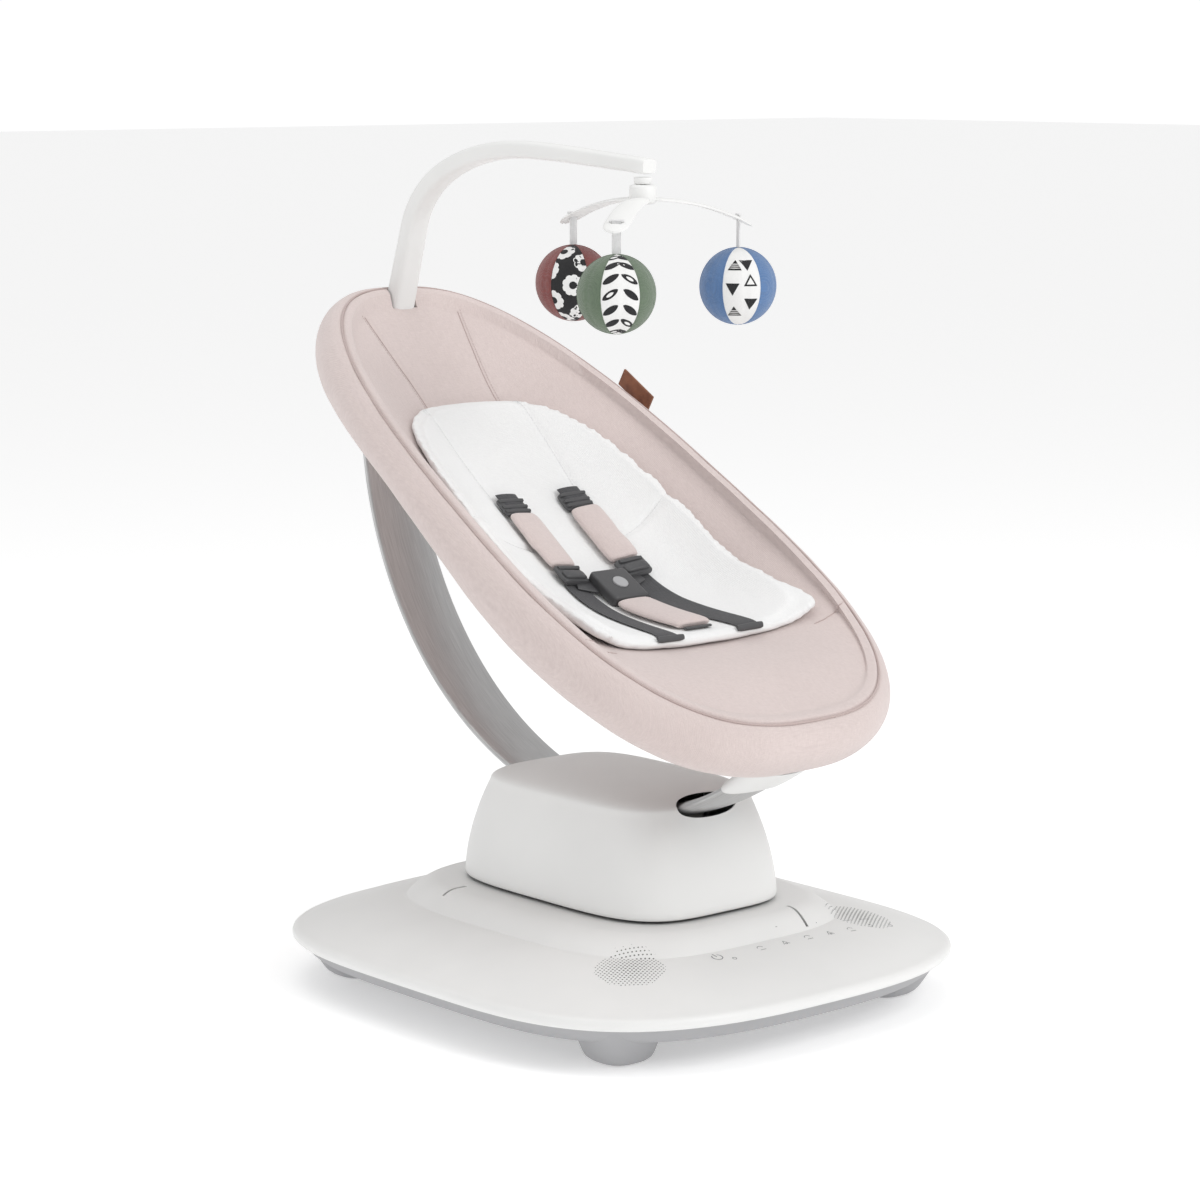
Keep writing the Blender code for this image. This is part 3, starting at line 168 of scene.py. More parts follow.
def paint(made, colour):
    shader = made.node_tree.nodes["Principled BSDF"]
    made.node_tree.links.new(colour, shader.inputs["Base Color"])


def roughen(made, strength, low, high):
    """Lets the gloss wander a little over the surface."""
    spread = made.node_tree.nodes.new("ShaderNodeMapRange")
    spread.inputs["To Min"].default_value = low
    spread.inputs["To Max"].default_value = high
    made.node_tree.links.new(strength, spread.inputs["Value"])
    made.node_tree.links.new(spread.outputs["Result"],
                             made.node_tree.nodes["Principled BSDF"].inputs["Roughness"])


def emboss(made, height, depth, strength=1.0):
    """Adds a fine relief to the shader's normal, on top of any relief already there."""
    tree = made.node_tree
    shader = tree.nodes["Principled BSDF"]
    relief = tree.nodes.new("ShaderNodeBump")
    relief.inputs["Strength"].default_value = strength
    relief.inputs["Distance"].default_value = depth
    if shader.inputs["Normal"].links:
        tree.links.new(shader.inputs["Normal"].links[0].from_socket, relief.inputs["Normal"])
    tree.links.new(height, relief.inputs["Height"])
    tree.links.new(relief.outputs["Normal"], shader.inputs["Normal"])


def moulded_plastic(name, colour, roughness, grain=0.00006):
    """Satin moulded plastic: a faint drift of tone and gloss, and a spark-eroded grain."""
    made = principled(name, roughness)
    drift = cloudy(made, 9.0)
    darker = tuple(0.965 * c for c in colour)
    paint(made, blend_colours(made, drift, darker, colour))
    roughen(made, drift, roughness - 0.04, roughness + 0.05)
    emboss(made, cloudy(made, 1500.0, detail=2.0), grain, 0.6)
    return made


def superellipse(half_x, half_y, power_x, power_y=None, count=SIDES):
    power_y = power_y or power_x
    points = []
    for i in range(count):
        turn = 2 * math.pi * i / count
        c, s = math.cos(turn), math.sin(turn)
        points.append((half_x * math.copysign(abs(c) ** (2 / power_x), c),
                       half_y * math.copysign(abs(s) ** (2 / power_y), s)))
    return points


def level(outline, z, centre=(0, BASE_Y)):
    return [Vector((x + centre[0], y + centre[1], z)) for x, y in outline]


def skin(name, rings, material, caps=(False, False), sharp=40):
    """A surface over rings of points; a ring of one point is a pole. Normals are made to face outwards."""
    shape = bmesh.new()
    rows = [[shape.verts.new(point) for point in ring] for ring in rings]
    for row, following in zip(rows, rows[1:]):
        count = max(len(row), len(following))
        for i in range(count):
            j = (i + 1) % count
            corners = [row[i % len(row)], row[j % len(row)],
                       following[j % len(following)], following[i % len(following)]]
            shape.faces.new(list(dict.fromkeys(corners)))
    for wanted, row in zip(caps, (rows[0], rows[-1])):
        if wanted:
            shape.faces.new(row)
    bmesh.ops.recalc_face_normals(shape, faces=shape.faces)
    mesh = mesh_of(shape, name)
    mesh.materials.append(material)
    mesh.shade_smooth()
    mesh.set_sharp_from_angle(angle=math.radians(sharp))
    return add(name, mesh)


def settle(piece):
    """Turns a piece's modifiers into plain mesh."""
    graph = bpy.context.evaluated_depsgraph_get()
    mesh = bpy.data.meshes.new_from_object(piece.evaluated_get(graph))
    piece.modifiers.clear()
    piece.data = mesh
    return piece


def face_out(piece, towards):
    """Turns an open sheet so that its faces look towards a point's side."""
    face = piece.data.polygons[0]
    if face.normal.dot(towards - face.center) < 0:
        piece.data.flip_normals()


def wall(piece, thickness, offset=-1.0):
    """Gives an open sheet its wall, on the side away from its normals."""
    skin_wall = piece.modifiers.new("wall", "SOLIDIFY")
    skin_wall.thickness = thickness
    skin_wall.offset = offset
    return settle(piece)


def cut(piece, *cutters):
    for cutter in cutters:
        change = piece.modifiers.new("cut", "BOOLEAN")
        change.object = cutter
        change.operation = "DIFFERENCE"
        settle(piece)
        bpy.data.objects.remove(cutter)
    piece.data.set_sharp_from_angle(angle=math.radians(40))
    return piece


def hand_over(piece, body, slot, *nodes):
    """Ties a finished piece to its body, in place of the plain solids it stands for, which it hides; its slot
    argument is not used.
    """
    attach(piece, body)
    if nodes:
        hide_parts(*nodes)
    return piece


def box_between(name, low, high, material, edge=0.0, segments=3):
    shape = bmesh.new()
    bmesh.ops.create_cube(shape, size=1.0)
    low, high = Vector(low), Vector(high)
    bmesh.ops.scale(shape, vec=high - low, verts=shape.verts)
    bmesh.ops.translate(shape, vec=(low + high) / 2, verts=shape.verts)
    mesh = mesh_of(shape, name)
    made = add(name, mesh)
    if material:
        mesh.materials.append(material)
    if edge:
        rounding = made.modifiers.new("edge", "BEVEL")
        rounding.width = edge
        rounding.segments = segments
        settle(made)
        made.data.shade_smooth()
        made.data.set_sharp_from_angle(angle=math.radians(50))
    return made


BASE_HALF_WIDTH = (floor_high.x - floor_low.x) / 2
BASE_HALF_LENGTH = (floor_high.y - floor_low.y) / 2
RIM_Z = 0.0480
COLLAR_FOOT = (0.1520, 0.1860, 0.0730)
COLLAR_TOP = (0.1240, 0.1640, floor_high.z)
COLLAR_POWER = 3.6
COVER_OPENING = (0.0660, 0.1000)

white_plastic = moulded_plastic("satin_white_plastic", PLASTIC_WHITE, 0.42)


def base_outline(inset):
    return superellipse(BASE_HALF_WIDTH - inset, BASE_HALF_LENGTH - inset, 2.7, 3.9)


def dome_point(point, foot, share):
    """A point of the dome between its rim and the collar's foot."""
    height = RIM_Z + 0.0010 + (COLLAR_FOOT[2] - RIM_Z - 0.0010) * (1 - (1 - share) ** 1.35)
    return Vector((point[0] + (foot[0] - point[0]) * share,
                   point[1] + (foot[1] - point[1]) * share + BASE_Y, height))


rim_line = base_outline(0.0060)
foot_line = superellipse(COLLAR_FOOT[0], COLLAR_FOOT[1], COLLAR_POWER)
cover_rings = [level(base_outline(inset), RIM_Z + rise) for inset, rise in
               ((0.0012, -0.0060), (0.0002, -0.0050), (0, -0.0030), (0.0004, -0.0016), (0.0018, -0.0004),
                (0.0036, 0.0005))]
for step in range(17):
    cover_rings.append([dome_point(a, b, step / 16) for a, b in zip(rim_line, foot_line)])
for step in range(1, 15):
    share = step / 14
    width, length = [a + (b - a) * share for a, b in zip(COLLAR_FOOT[:2], COLLAR_TOP[:2])]
    height = COLLAR_FOOT[2] + (COLLAR_TOP[2] - COLLAR_FOOT[2]) * math.sin(share * math.pi / 2)
    cover_rings.append(level(superellipse(width, length, COLLAR_POWER), height))
for inset, drop in ((0.002, 0.0), (0.030, 0.0002), (0.034, 0.0020), (0.0345, 0.0060)):
    share = min(1.0, inset / 0.034)
    width, length = [a + (b - a) * share for a, b in zip(COLLAR_TOP[:2], COVER_OPENING)]
    cover_rings.append(level(superellipse(width, length, COLLAR_POWER + 2 * share), COLLAR_TOP[2] - drop))
base_cover = skin("base_cover_shell", cover_rings, white_plastic)
face_out(base_cover, Vector((0, BASE_Y, 0.5)))
wall(base_cover, 0.0024)
side_slot = box_between("side_slot", (-0.1350, BASE_Y + 0.0860, 0.05), (-0.1080, BASE_Y + 0.0890, 0.12),
                        None)
front_slot = box_between("front_slot", (0.0600, BASE_Y - 0.1830, 0.05), (0.0630, BASE_Y - 0.1560, 0.12),
                         None)
cut(base_cover, side_slot, front_slot)
hand_over(base_cover, "base", "white_shell", "base_cover")


# ---- Speaker perforations ----
# Two round fields of small holes drilled through the cover over the speakers, on a slanted lattice,
# smaller towards the edge of each field. Each is a shallow dark disc set into the shell: painted shade for the
# hole's shadowed inside.

HOLE_PITCH = 0.0036
FIELD_RADIUS = 0.0520
FIELD_CENTRE = Vector((0.1375, BASE_Y - 0.1705, 0))
LATTICE_TURN = math.radians(38)



def flecked(name, roughness, drift, dark, light, grain, depth):
    """A matt finish that drifts between two tones, with a fine grain."""
    made = principled(name, roughness)
    paint(made, blend_colours(made, cloudy(made, drift), dark, light))
    emboss(made, cloudy(made, grain), depth)
    return made


# Dark flecked grey: painted shade standing in for the shadowed inside of each speaker hole; the status lamp's lens
# also uses it as its own dark colour.
painted_hole_shade_and_dark_lens = flecked("painted_hole_shade_and_dark_lens", 0.9, 60.0, (0.10, 0.10, 0.10), (0.16, 0.16, 0.16), 900.0, 0.0001)

cover_tree = BVHTree.FromObject(base_cover, bpy.context.evaluated_depsgraph_get())


def new_tree(name, source, sizes, result):
    """An empty node tree with a geometry to start from, its sizes, a finish and a result."""
    tree = bpy.data.node_groups.new(name, "GeometryNodeTree")
    sockets = [(source, "INPUT", "Geometry"), *((size, "INPUT", "Float") for size in sizes),
               ("Finish", "INPUT", "Material"), (result, "OUTPUT", "Geometry")]
    for label, way, kind in sockets:
        tree.interface.new_socket(label, in_out=way, socket_type=f"NodeSocket{kind}")
    return tree, tree.nodes.new, tree.links.new


def end_tree(tree, given, shape):
    """Realises a tree's shape, gives it the finish and hands it to the tree's result."""
    made, link = tree.nodes.new, tree.links.new
    real, finish = made("GeometryNodeRealizeInstances"), made("GeometryNodeSetMaterial")
    result = made("NodeGroupOutput")
    link(shape, real.inputs["Geometry"])
    link(real.outputs["Geometry"], finish.inputs["Geometry"])
    link(given.outputs["Finish"], finish.inputs["Material"])
    link(finish.outputs["Geometry"], result.inputs[0])
    return tree


def scatter_tree(name, sides, height):
    """Node tree: a small flat-ended peg on every point, sized and aimed by the point's own attributes."""
    tree, made, link = new_tree(name, "Points", ["Radius"], "Pegs")
    given = made("NodeGroupInput")
    peg = made("GeometryNodeMeshCylinder")
    peg.inputs["Vertices"].default_value = sides
    peg.inputs["Depth"].default_value = height
    aim = made("GeometryNodeInputNamedAttribute")
    aim.data_type = "FLOAT_VECTOR"
    aim.inputs["Name"].default_value = "aim"
    size = made("GeometryNodeInputNamedAttribute")
    size.inputs["Name"].default_value = "size"
    turn = made("FunctionNodeAlignRotationToVector")
    turn.axis = "Z"
    spread = made("GeometryNodeInstanceOnPoints")
    link(given.outputs["Radius"], peg.inputs["Radius"])
    link(aim.outputs["Attribute"], turn.inputs["Vector"])
    link(given.outputs["Points"], spread.inputs["Points"])
    link(peg.outputs["Mesh"], spread.inputs["Instance"])
    link(turn.outputs["Rotation"], spread.inputs["Rotation"])
    link(size.outputs["Attribute"], spread.inputs["Scale"])
    return end_tree(tree, given, spread.outputs["Instances"])


def run_tree(carrier, tree, **inputs):
    """Applies a node tree to a mesh, its inputs set by their sockets' identifiers, and keeps plain mesh."""
    step = carrier.modifiers.new("made", "NODES")
    step.node_group = tree
    for item in tree.interface.items_tree:
        if item.item_type == "SOCKET" and item.in_out == "INPUT" and item.name in inputs:
            step[item.identifier] = inputs[item.name]
    settle(carrier)
    return carrier


def points_mesh(name, spots):
    """Loose points, each a (place, aim, size)."""
    mesh = bpy.data.meshes.new(name)
    mesh.from_pydata([place for place, _, _ in spots], [], [])
    mesh.attributes.new("aim", "FLOAT_VECTOR", "POINT")
    mesh.attributes.new("size", "FLOAT", "POINT")
    for i, (_, aim, size) in enumerate(spots):
        mesh.attributes["aim"].data[i].vector = aim
        mesh.attributes["size"].data[i].value = size
    return add(name, mesh)


perforation = scatter_tree("perforation", 10, 0.0006)
for hand in (-1, 1):
    spots = []
    reach = int(FIELD_RADIUS / HOLE_PITCH) + 1
    for row in range(-reach, reach + 1):
        for column in range(-reach, reach + 1):
            offset = Vector((column + 0.5 * (row % 2), row * 0.866)) * HOLE_PITCH
            offset.rotate(Matrix.Rotation(hand * LATTICE_TURN, 2))
            share = offset.length / FIELD_RADIUS
            if share > 1:
                continue
            above = Vector((hand * FIELD_CENTRE.x + offset.x, FIELD_CENTRE.y + offset.y, 0.2))
            place, normal, _, _ = cover_tree.ray_cast(above, Vector((0, 0, -1)))
            if place:
                spots.append((place - 0.00022 * normal, normal, 1.0 - 0.62 * share ** 1.6))
    field = points_mesh(f"speaker_holes_{'left' if hand < 0 else 'right'}", spots)
    # The pegs are dark painted shade where the holes would be; the cover itself is not cut through.
    run_tree(field, perforation, Radius=0.00095, Finish=painted_hole_shade_and_dark_lens)
    hand_over(field, "base", "dark_plastic")


# ---- Touch panel marks ----
# Grey pad-printed signs along the front of the cover: a power ring, then small plain signs for the
# other keys, and three thin rules above them. Each sign is a raised film a tenth of a millimetre thick.

panel_ink = flecked("panel_ink", 0.55, 80.0, (0.16, 0.16, 0.17), (0.24, 0.24, 0.25), 1200.0, 0.00005)


def stroke(points, half, closed=False):
    """The quads of a thin printed line lying on the cover, through points in plan."""
    quads = []
    ends = points + points[:1] if closed else points
    for a, b in zip(ends, ends[1:]):
        a, b = Vector(a), Vector(b)
        across = Vector((a.y - b.y, b.x - a.x)).normalized() * half
        quads.append((a - across, b - across, b + across, a + across))
    return quads


def ring_points(x, y, radius, start, end, steps=14):
    turns = [math.radians(start + (end - start) * i / steps) for i in range(steps + 1)]
    return [(x + radius * math.cos(t), y + radius * math.sin(t)) for t in turns]


SIGN_Y = BASE_Y - 0.1985
INK = 0.00028
signs = stroke(ring_points(-0.0596, SIGN_Y + 0.0025, 0.0048, 125, 415), 1.5 * INK)
signs += stroke([(-0.0596, SIGN_Y + 0.0030), (-0.0596, SIGN_Y + 0.0090)], 1.5 * INK)
signs += stroke(ring_points(-0.0470, SIGN_Y - 0.0060, 0.0018, 0, 360), INK)
for x in (-0.0101, 0.0471, 0.1003):
    signs += stroke(ring_points(x, SIGN_Y, 0.0034, 20, 170), INK)
    signs += stroke([(x + 0.0034, SIGN_Y - 0.0030), (x - 0.0030, SIGN_Y - 0.0030)], INK)
for x in (0.0188, 0.0734):
    signs += stroke([(x - 0.0034, SIGN_Y - 0.003), (x, SIGN_Y + 0.003), (x + 0.0034, SIGN_Y - 0.003)], INK)
    signs += stroke(ring_points(x, SIGN_Y - 0.0020, 0.0010, 0, 360), INK)
for x in (0.1275, 0.1530):
    signs += stroke(ring_points(x, SIGN_Y + 0.0040, 0.0030, 200, 430), INK)
for start, end in ((0.0250, 0.0760), (0.1080, 0.1200), (0.1300, 0.1420)):
    signs += stroke([(start, SIGN_Y + 0.0185), (end, SIGN_Y + 0.0185)], 0.7 * INK)

print_shape = bmesh.new()
for quad in signs:
    corners = []
    for corner in quad:
        place, normal, _, _ = cover_tree.ray_cast(Vector((corner.x, corner.y, 0.2)), Vector((0, 0, -1)))
        corners.append(print_shape.verts.new(place + 0.00012 * normal))
    print_shape.faces.new(corners)
print_mesh = mesh_of(print_shape, "panel_signs")
print_mesh.materials.append(panel_ink)
panel_signs = add("panel_signs", print_mesh)
face_out(panel_signs, Vector((0, BASE_Y, 2.0)))
wall(panel_signs, 0.0001)
hand_over(panel_signs, "base", "dark_plastic")


# ---- Base tray and feet ----
# The grey tray that closes the base from below, with four feet moulded with it that flare up
# into its wall. Rubber pads are pressed into the feet, and the mains inlet sits in the rear wall.

TRAY_GREY = (0.40, 0.40, 0.41)
TRAY_BOTTOM = 0.0225
FOOT = (0.1600, 0.1820)
FOOT_HALF = (0.0240, 0.0355)
FOOT_TOP = 0.0360
FOOT_SPREAD = 0.0080

grey_plastic = moulded_plastic("grey_textured_plastic", TRAY_GREY, 0.52, 0.0001)
tray_rings = [level(base_outline(inset), z) for inset, z in
              ((0.0035, 0.0417), (0.0042, 0.0395), (0.0070, 0.0352), (0.0110, 0.0300), (0.0160, 0.0260),
               (0.0200, 0.0240), (0.0240, 0.0229), (0.0290, TRAY_BOTTOM), (0.0800, TRAY_BOTTOM))]
tray_rings.append([Vector((0, BASE_Y, TRAY_BOTTOM))])
base_tray = skin("base_tray_shell", tray_rings, grey_plastic)
face_out(base_tray, Vector((0, BASE_Y, -0.5)))
if base_tray.data.polygons[-1].normal.z > 0:
    base_tray.data.flip_normals()
wall(base_tray, 0.0024)
hand_over(base_tray, "base", "grey_shell", "base_tray")
for side_x in (-1, 1):
    for side_y in (-1, 1):
        foot_rings = []
        for step in range(13):
            share = step / 12
            half = FOOT_HALF[0] + (FOOT_HALF[1] - FOOT_HALF[0]) * share ** 0.7
            half -= 0.0016 * max(0.0, 1 - share / 0.10)
            centre = (side_x * (FOOT[0] + FOOT_SPREAD * share),
                      BASE_Y + side_y * (FOOT[1] + FOOT_SPREAD * share))
            foot_rings.append(level(superellipse(half, half, 2.8, count=72),
                                    0.0012 + (FOOT_TOP - 0.0012) * share, centre))
        name = f"foot_{'left' if side_x < 0 else 'right'}_{'front' if side_y < 0 else 'rear'}"
        foot = skin(name, foot_rings, grey_plastic, caps=(True, True))
        hand_over(foot, "base", "grey_shell")

foot_rubber = flecked("foot_rubber", 0.85, 70.0, (0.05, 0.05, 0.05), (0.09, 0.09, 0.09), 1100.0, 0.0002)


# ---- Housing ----
# The white shell that slides and lifts: straight sides that round over into a shallow roof, with an
# opening front and rear where the seat rail runs through. A small status lamp sits near the front.

HOUSING_LOW, HOUSING_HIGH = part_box("housing_shell")
HOUSING_HALF = (0.0980, 0.1446)
HOUSING_POWER = 3.9
SHOULDER_Z = 0.1840
PIVOT = Vector(next(j["pos_m"] for j in frame["joints"] if j["name"] == "recline"))
RAIL_RADIUS = 0.3395
RAIL_HALF = (0.0320, 0.0065)


def housing_share(z):
    rise = max(0.0, (z - HOUSING_LOW.z) / (SHOULDER_Z - HOUSING_LOW.z))
    return 1 - 0.17 * rise ** 1.8


def housing_ring(z, share):
    return level(superellipse(HOUSING_HALF[0] * share, HOUSING_HALF[1] * share, HOUSING_POWER), z)


def on_arc(radius, angle, x=0.0):
    """A point at an angle from straight down, towards the front, round the recline axis."""
    return Vector((x, PIVOT.y - radius * math.sin(angle), PIVOT.z - radius * math.cos(angle)))


def rail_sweep(name, sections, material, caps=(True, True), count=56):
    """A bar along the rail's arc: each section is an angle with its half width and half depth."""
    rings = []
    for angle, width, depth in sections:
        rings.append([on_arc(RAIL_RADIUS + out, angle, x) for x,
                      out in superellipse(width, depth, 2.2, count=count)])
    return skin(name, rings, material, caps)


housing_rings = [housing_ring(HOUSING_LOW.z + rise, housing_share(HOUSING_LOW.z) - inset)
                 for rise, inset in ((0.0, 0.010), (0.0012, 0.003), (0.0030, 0.0))]
for step in range(1, 19):
    z = HOUSING_LOW.z + 0.003 + (SHOULDER_Z - HOUSING_LOW.z - 0.003) * step / 18
    housing_rings.append(housing_ring(z, housing_share(z)))
shoulder_share = housing_share(SHOULDER_Z)
for step in range(1, 14):
    turn = math.radians(80 * step / 13)
    share = shoulder_share * (1 - 0.45 * (1 - math.cos(turn)) / (1 - math.cos(math.radians(80))))
    housing_rings.append(housing_ring(SHOULDER_Z + (HOUSING_HIGH.z - SHOULDER_Z) * 0.97 * math.sin(turn),
                                      share))
for step in range(1, 6):
    share = shoulder_share * 0.55 * (1 - step / 6)
    rise = (HOUSING_HIGH.z - SHOULDER_Z) * (0.9555 + 0.0445 * (1 - (1 - step / 6) ** 2))
    housing_rings.append(housing_ring(SHOULDER_Z + rise, share))
housing_rings.append([Vector((0, BASE_Y, HOUSING_HIGH.z))])
housing = skin("housing_shell_skin", housing_rings, white_plastic)
face_out(housing, Vector((1.0, BASE_Y, 0.1)))
wall(housing, 0.0026)
for start, end in ((14, 42), (-42, -14)):
    angles = [math.radians(start + (end - start) * i / 12) for i in range(13)]
    mouth = rail_sweep("mouth", [(angle, RAIL_HALF[0] + 0.0030, RAIL_HALF[1] + 0.0050) for angle in angles],
                       white_plastic)
    cut(housing, mouth)
hand_over(housing, "housing", "white_shell", "housing_shell")

lamp = points_mesh("status_lamp",
                   [(Vector((-0.0800, BASE_Y - 0.0480, 0.1795)), Vector((-1, -0.1, 0.35)).normalized(),
                     1.0)])


# ---- Seat rail and sleeve ----
# A curved aluminium bar of oval section in satin silver, which the seat rides on, and the white moulded
# sleeve that grips its front end under the seat. The sleeve widens as it climbs and has a scooped mouth.

satin_silver = principled("satin_silver", 0.34, 0.85)
brushed = cloudy(satin_silver, 240.0, (8.0, 0.15, 0.15), 2.0)
paint(satin_silver, blend_colours(satin_silver, brushed, (0.50, 0.50, 0.50), (0.60, 0.60, 0.60)))
roughen(satin_silver, cloudy(satin_silver, 30.0), 0.30, 0.42)
emboss(satin_silver, brushed, 0.00004, 0.5)

RAIL_REAR, RAIL_FRONT = math.radians(-101), math.radians(40.2)
rail_angles = [RAIL_REAR + (RAIL_FRONT - RAIL_REAR) * i / 130 for i in range(131)]
seat_rail = rail_sweep("seat_rail_bar", [(angle, *RAIL_HALF) for angle in rail_angles], satin_silver)
hand_over(seat_rail, "seat", "rail_metal", "seat_rail")

SLEEVE_START, SLEEVE_END = math.radians(30.6), math.radians(39)
SLEEVE_HALF = ((0.0345, 0.0095), (0.0380, 0.0140))
sleeve_rings = []
for share, shrink in ((0.05, 0.0022), (0.02, 0.0012), (0.0, 0.0004), (0.03, 0.0),
                      *[(i / 14, 0.0) for i in range(1, 15)]):
    width, depth = [a + (b - a) * share - shrink for a, b in zip(*SLEEVE_HALF)]
    ring = []
    for x, out in superellipse(width, depth, 2.2, count=56):
        scoop = math.radians(1.7) * (1 - share) ** 2 * (1 - (x / width) ** 2)
        angle = SLEEVE_START + (SLEEVE_END - SLEEVE_START) * share + scoop
        ring.append(on_arc(RAIL_RADIUS + out, angle, x))
    sleeve_rings.append(ring)
rail_sleeve = skin("rail_sleeve_skin", sleeve_rings, white_plastic, caps=(False, True))
hand_over(rail_sleeve, "seat", "white_shell", "rail_sleeve")


# ---- Seat cover ----
# A sling of heathered woven cloth over the seat hoop: a bowl under the child, sewn at a corded seam to a
# padded side band that rolls over the hoop and is hemmed beneath it. Panels meet at fine lapped seams.

SEAT = Matrix.Translation(PIVOT + Vector((0, 0.0376, -0.0566))) @ Matrix.Rotation(math.radians(30.4), 4, "X")
SEAT_BACK = SEAT.inverted()
SEAT_UP = (SEAT.to_3x3() @ Vector((0, 0, 1))).normalized()
SEAT_HALF_LENGTH = 0.3330
SEAT_HALF_WIDTH = 0.1610
SEAT_POWER = 2.69
SEAT_TAPER = 0.132
BOWL_DEPTH = 0.0750
BOWL_LOW_S = -0.0600
BAND_OUT = 0.0168
BAND_DEPTH = 0.0520
DARTS = (((0.0420, 0.1900), (0.0440, 0.2200), (0.0490, 0.2550), (0.0560, 0.3000)),)
FOOT_SEAM = ((0.1180, -0.2020), (0.1290, -0.2010), (0.1400, -0.1985), (0.1500, -0.1960))

PINK_LIGHT, PINK_DARK = (0.715, 0.615, 0.592), (0.590, 0.498, 0.478)


def woven_cloth(name, light, dark, thread=0.0011, sheen=0.35, relief=0.00022):
    """Plain weave with flecked yarns: two crossed sets of streaks tint it, and crossed ridges raise it."""
    made = principled(name, 0.92)
    shader = made.node_tree.nodes["Principled BSDF"]
    shader.inputs["Sheen Weight"].default_value = sheen
    shader.inputs["Sheen Roughness"].default_value = 0.5
    tree = made.node_tree
    warp = cloudy(made, 160.0, (1.0, 9.0, 9.0), 4.0)
    weft = cloudy(made, 160.0, (9.0, 1.0, 1.0), 4.0)
    mixed = tree.nodes.new("ShaderNodeMath")
    mixed.operation = "ADD"
    tree.links.new(warp, mixed.inputs[0])
    tree.links.new(weft, mixed.inputs[1])
    halved = tree.nodes.new("ShaderNodeMath")
    halved.operation = "MULTIPLY_ADD"
    halved.inputs[1].default_value = 0.42
    tree.links.new(mixed.outputs[0], halved.inputs[0])
    drift = cloudy(made, 14.0, detail=3.0)
    softened = tree.nodes.new("ShaderNodeMath")
    softened.operation = "MULTIPLY"
    softened.inputs[1].default_value = 0.16
    tree.links.new(drift, softened.inputs[0])
    tree.links.new(softened.outputs[0], halved.inputs[2])
    paint(made, blend_colours(made, halved.outputs[0], dark, light, 0.30, 0.68))
    where = tree.nodes.new("ShaderNodeTexCoord")
    ridges = []
    for direction in ("X", "Y"):
        wave = tree.nodes.new("ShaderNodeTexWave")
        wave.bands_direction = direction
        wave.inputs["Scale"].default_value = 0.314 / thread
        wave.inputs["Distortion"].default_value = 1.4
        wave.inputs["Detail Scale"].default_value = 3.0
        tree.links.new(where.outputs["Object"], wave.inputs["Vector"])
        ridges.append(wave.outputs["Fac"])
    crossed = tree.nodes.new("ShaderNodeMath")
    crossed.operation = "MULTIPLY"
    tree.links.new(ridges[0], crossed.inputs[0])
    tree.links.new(ridges[1], crossed.inputs[1])
    emboss(made, crossed.outputs[0], relief, 0.7)
    emboss(made, cloudy(made, 22.0, detail=2.0), 0.0016, 0.35)
    return made


pink_cloth = woven_cloth("heathered_pink_cloth", PINK_LIGHT, PINK_DARK)
seam_thread = woven_cloth("seam_thread", (0.56, 0.45, 0.43), (0.46, 0.36, 0.34), 0.0006)


def smooth_line(points, steps):
    """A Catmull-Rom curve through the points."""
    line = []
    ends = [points[0], *points, points[-1]]
    for a, b, c, d in zip(ends, ends[1:], ends[2:], ends[3:]):
        for i in range(steps):
            t = i / steps
            shares = (-t + 2 * t ** 2 - t ** 3, 2 - 5 * t ** 2 + 3 * t ** 3,
                      t + 4 * t ** 2 - 3 * t ** 3, t ** 3 - t ** 2)
            line.append(tuple(sum(k * v for k, v in zip(shares, along)) / 2 for along in zip(a, b, c, d)))
    line.append(tuple(points[-1]))
    return line


def seat_outline(out, count=288):
    half_length, half_width = SEAT_HALF_LENGTH + out, SEAT_HALF_WIDTH + out
    points = superellipse(half_width, half_length, SEAT_POWER, count=count)
    return [(x * (1 - SEAT_TAPER * s / half_length), s) for x, s in points]


def rim_half_width(s):
    share = min(0.999, abs(s) / SEAT_HALF_LENGTH)
    taper = 1 - SEAT_TAPER * s / SEAT_HALF_LENGTH
    return SEAT_HALF_WIDTH * (1 - share ** SEAT_POWER) ** (1 / SEAT_POWER) * taper


def bowl(x, s):
    """Depth of the sling under its rim: deepest under the child, shallow at the foot."""
    if s > BOWL_LOW_S:
        along = 1 - ((s - BOWL_LOW_S) / (SEAT_HALF_LENGTH - BOWL_LOW_S)) ** 1.7
    else:
        share = min(1.0, (BOWL_LOW_S - s) / 0.22)
        along = 1 - share * share * (3 - 2 * share)
    across = 1 - min(1.0, abs(x) / rim_half_width(s)) ** 2.4
    return -BOWL_DEPTH * max(0.0, along) * across


def hem_share(s):
    along = min(1.0, max(0.0, (s + 0.15) / 0.48))
    return 1 - 0.24 * math.sin(math.pi * along) ** 2


def distance_to_line(x, s, line):
    """How far a place on the seat is from a sewn line."""
    best = 1.0
    for a, b in zip(line, line[1:]):
        a, b, p = Vector(a), Vector(b), Vector((x, s))
        along = max(0.0, min(1.0, (p - a).dot(b - a) / (b - a).length_squared))
        best = min(best, (p - a - (b - a) * along).length)
    return best


def both_hands(lines):
    return [smooth_line(line, 6) for line in lines] + [smooth_line([(-x, s) for x, s in line],
                                                                   6) for line in lines]


cover_seams = both_hands([*DARTS, FOOT_SEAM])


def pulled_in(x, s, seams, depth, spread):
    """How far a sewn line draws the cloth in at a place."""
    near = min(distance_to_line(x, s, line) for line in seams)
    return depth * math.exp(-(near / spread) ** 2)


def on_seat(x, s, h):
    return SEAT @ Vector((x, s, h))


def slack(x, s):
    """Gentle waviness of cloth that isn't drum tight."""
    return 0.0016 * (noise.noise(Vector((x * 14, s * 9, 3.1))) + 0.4 * noise.noise(Vector((x * 31, s * 24,
                                                                                           8.2))))


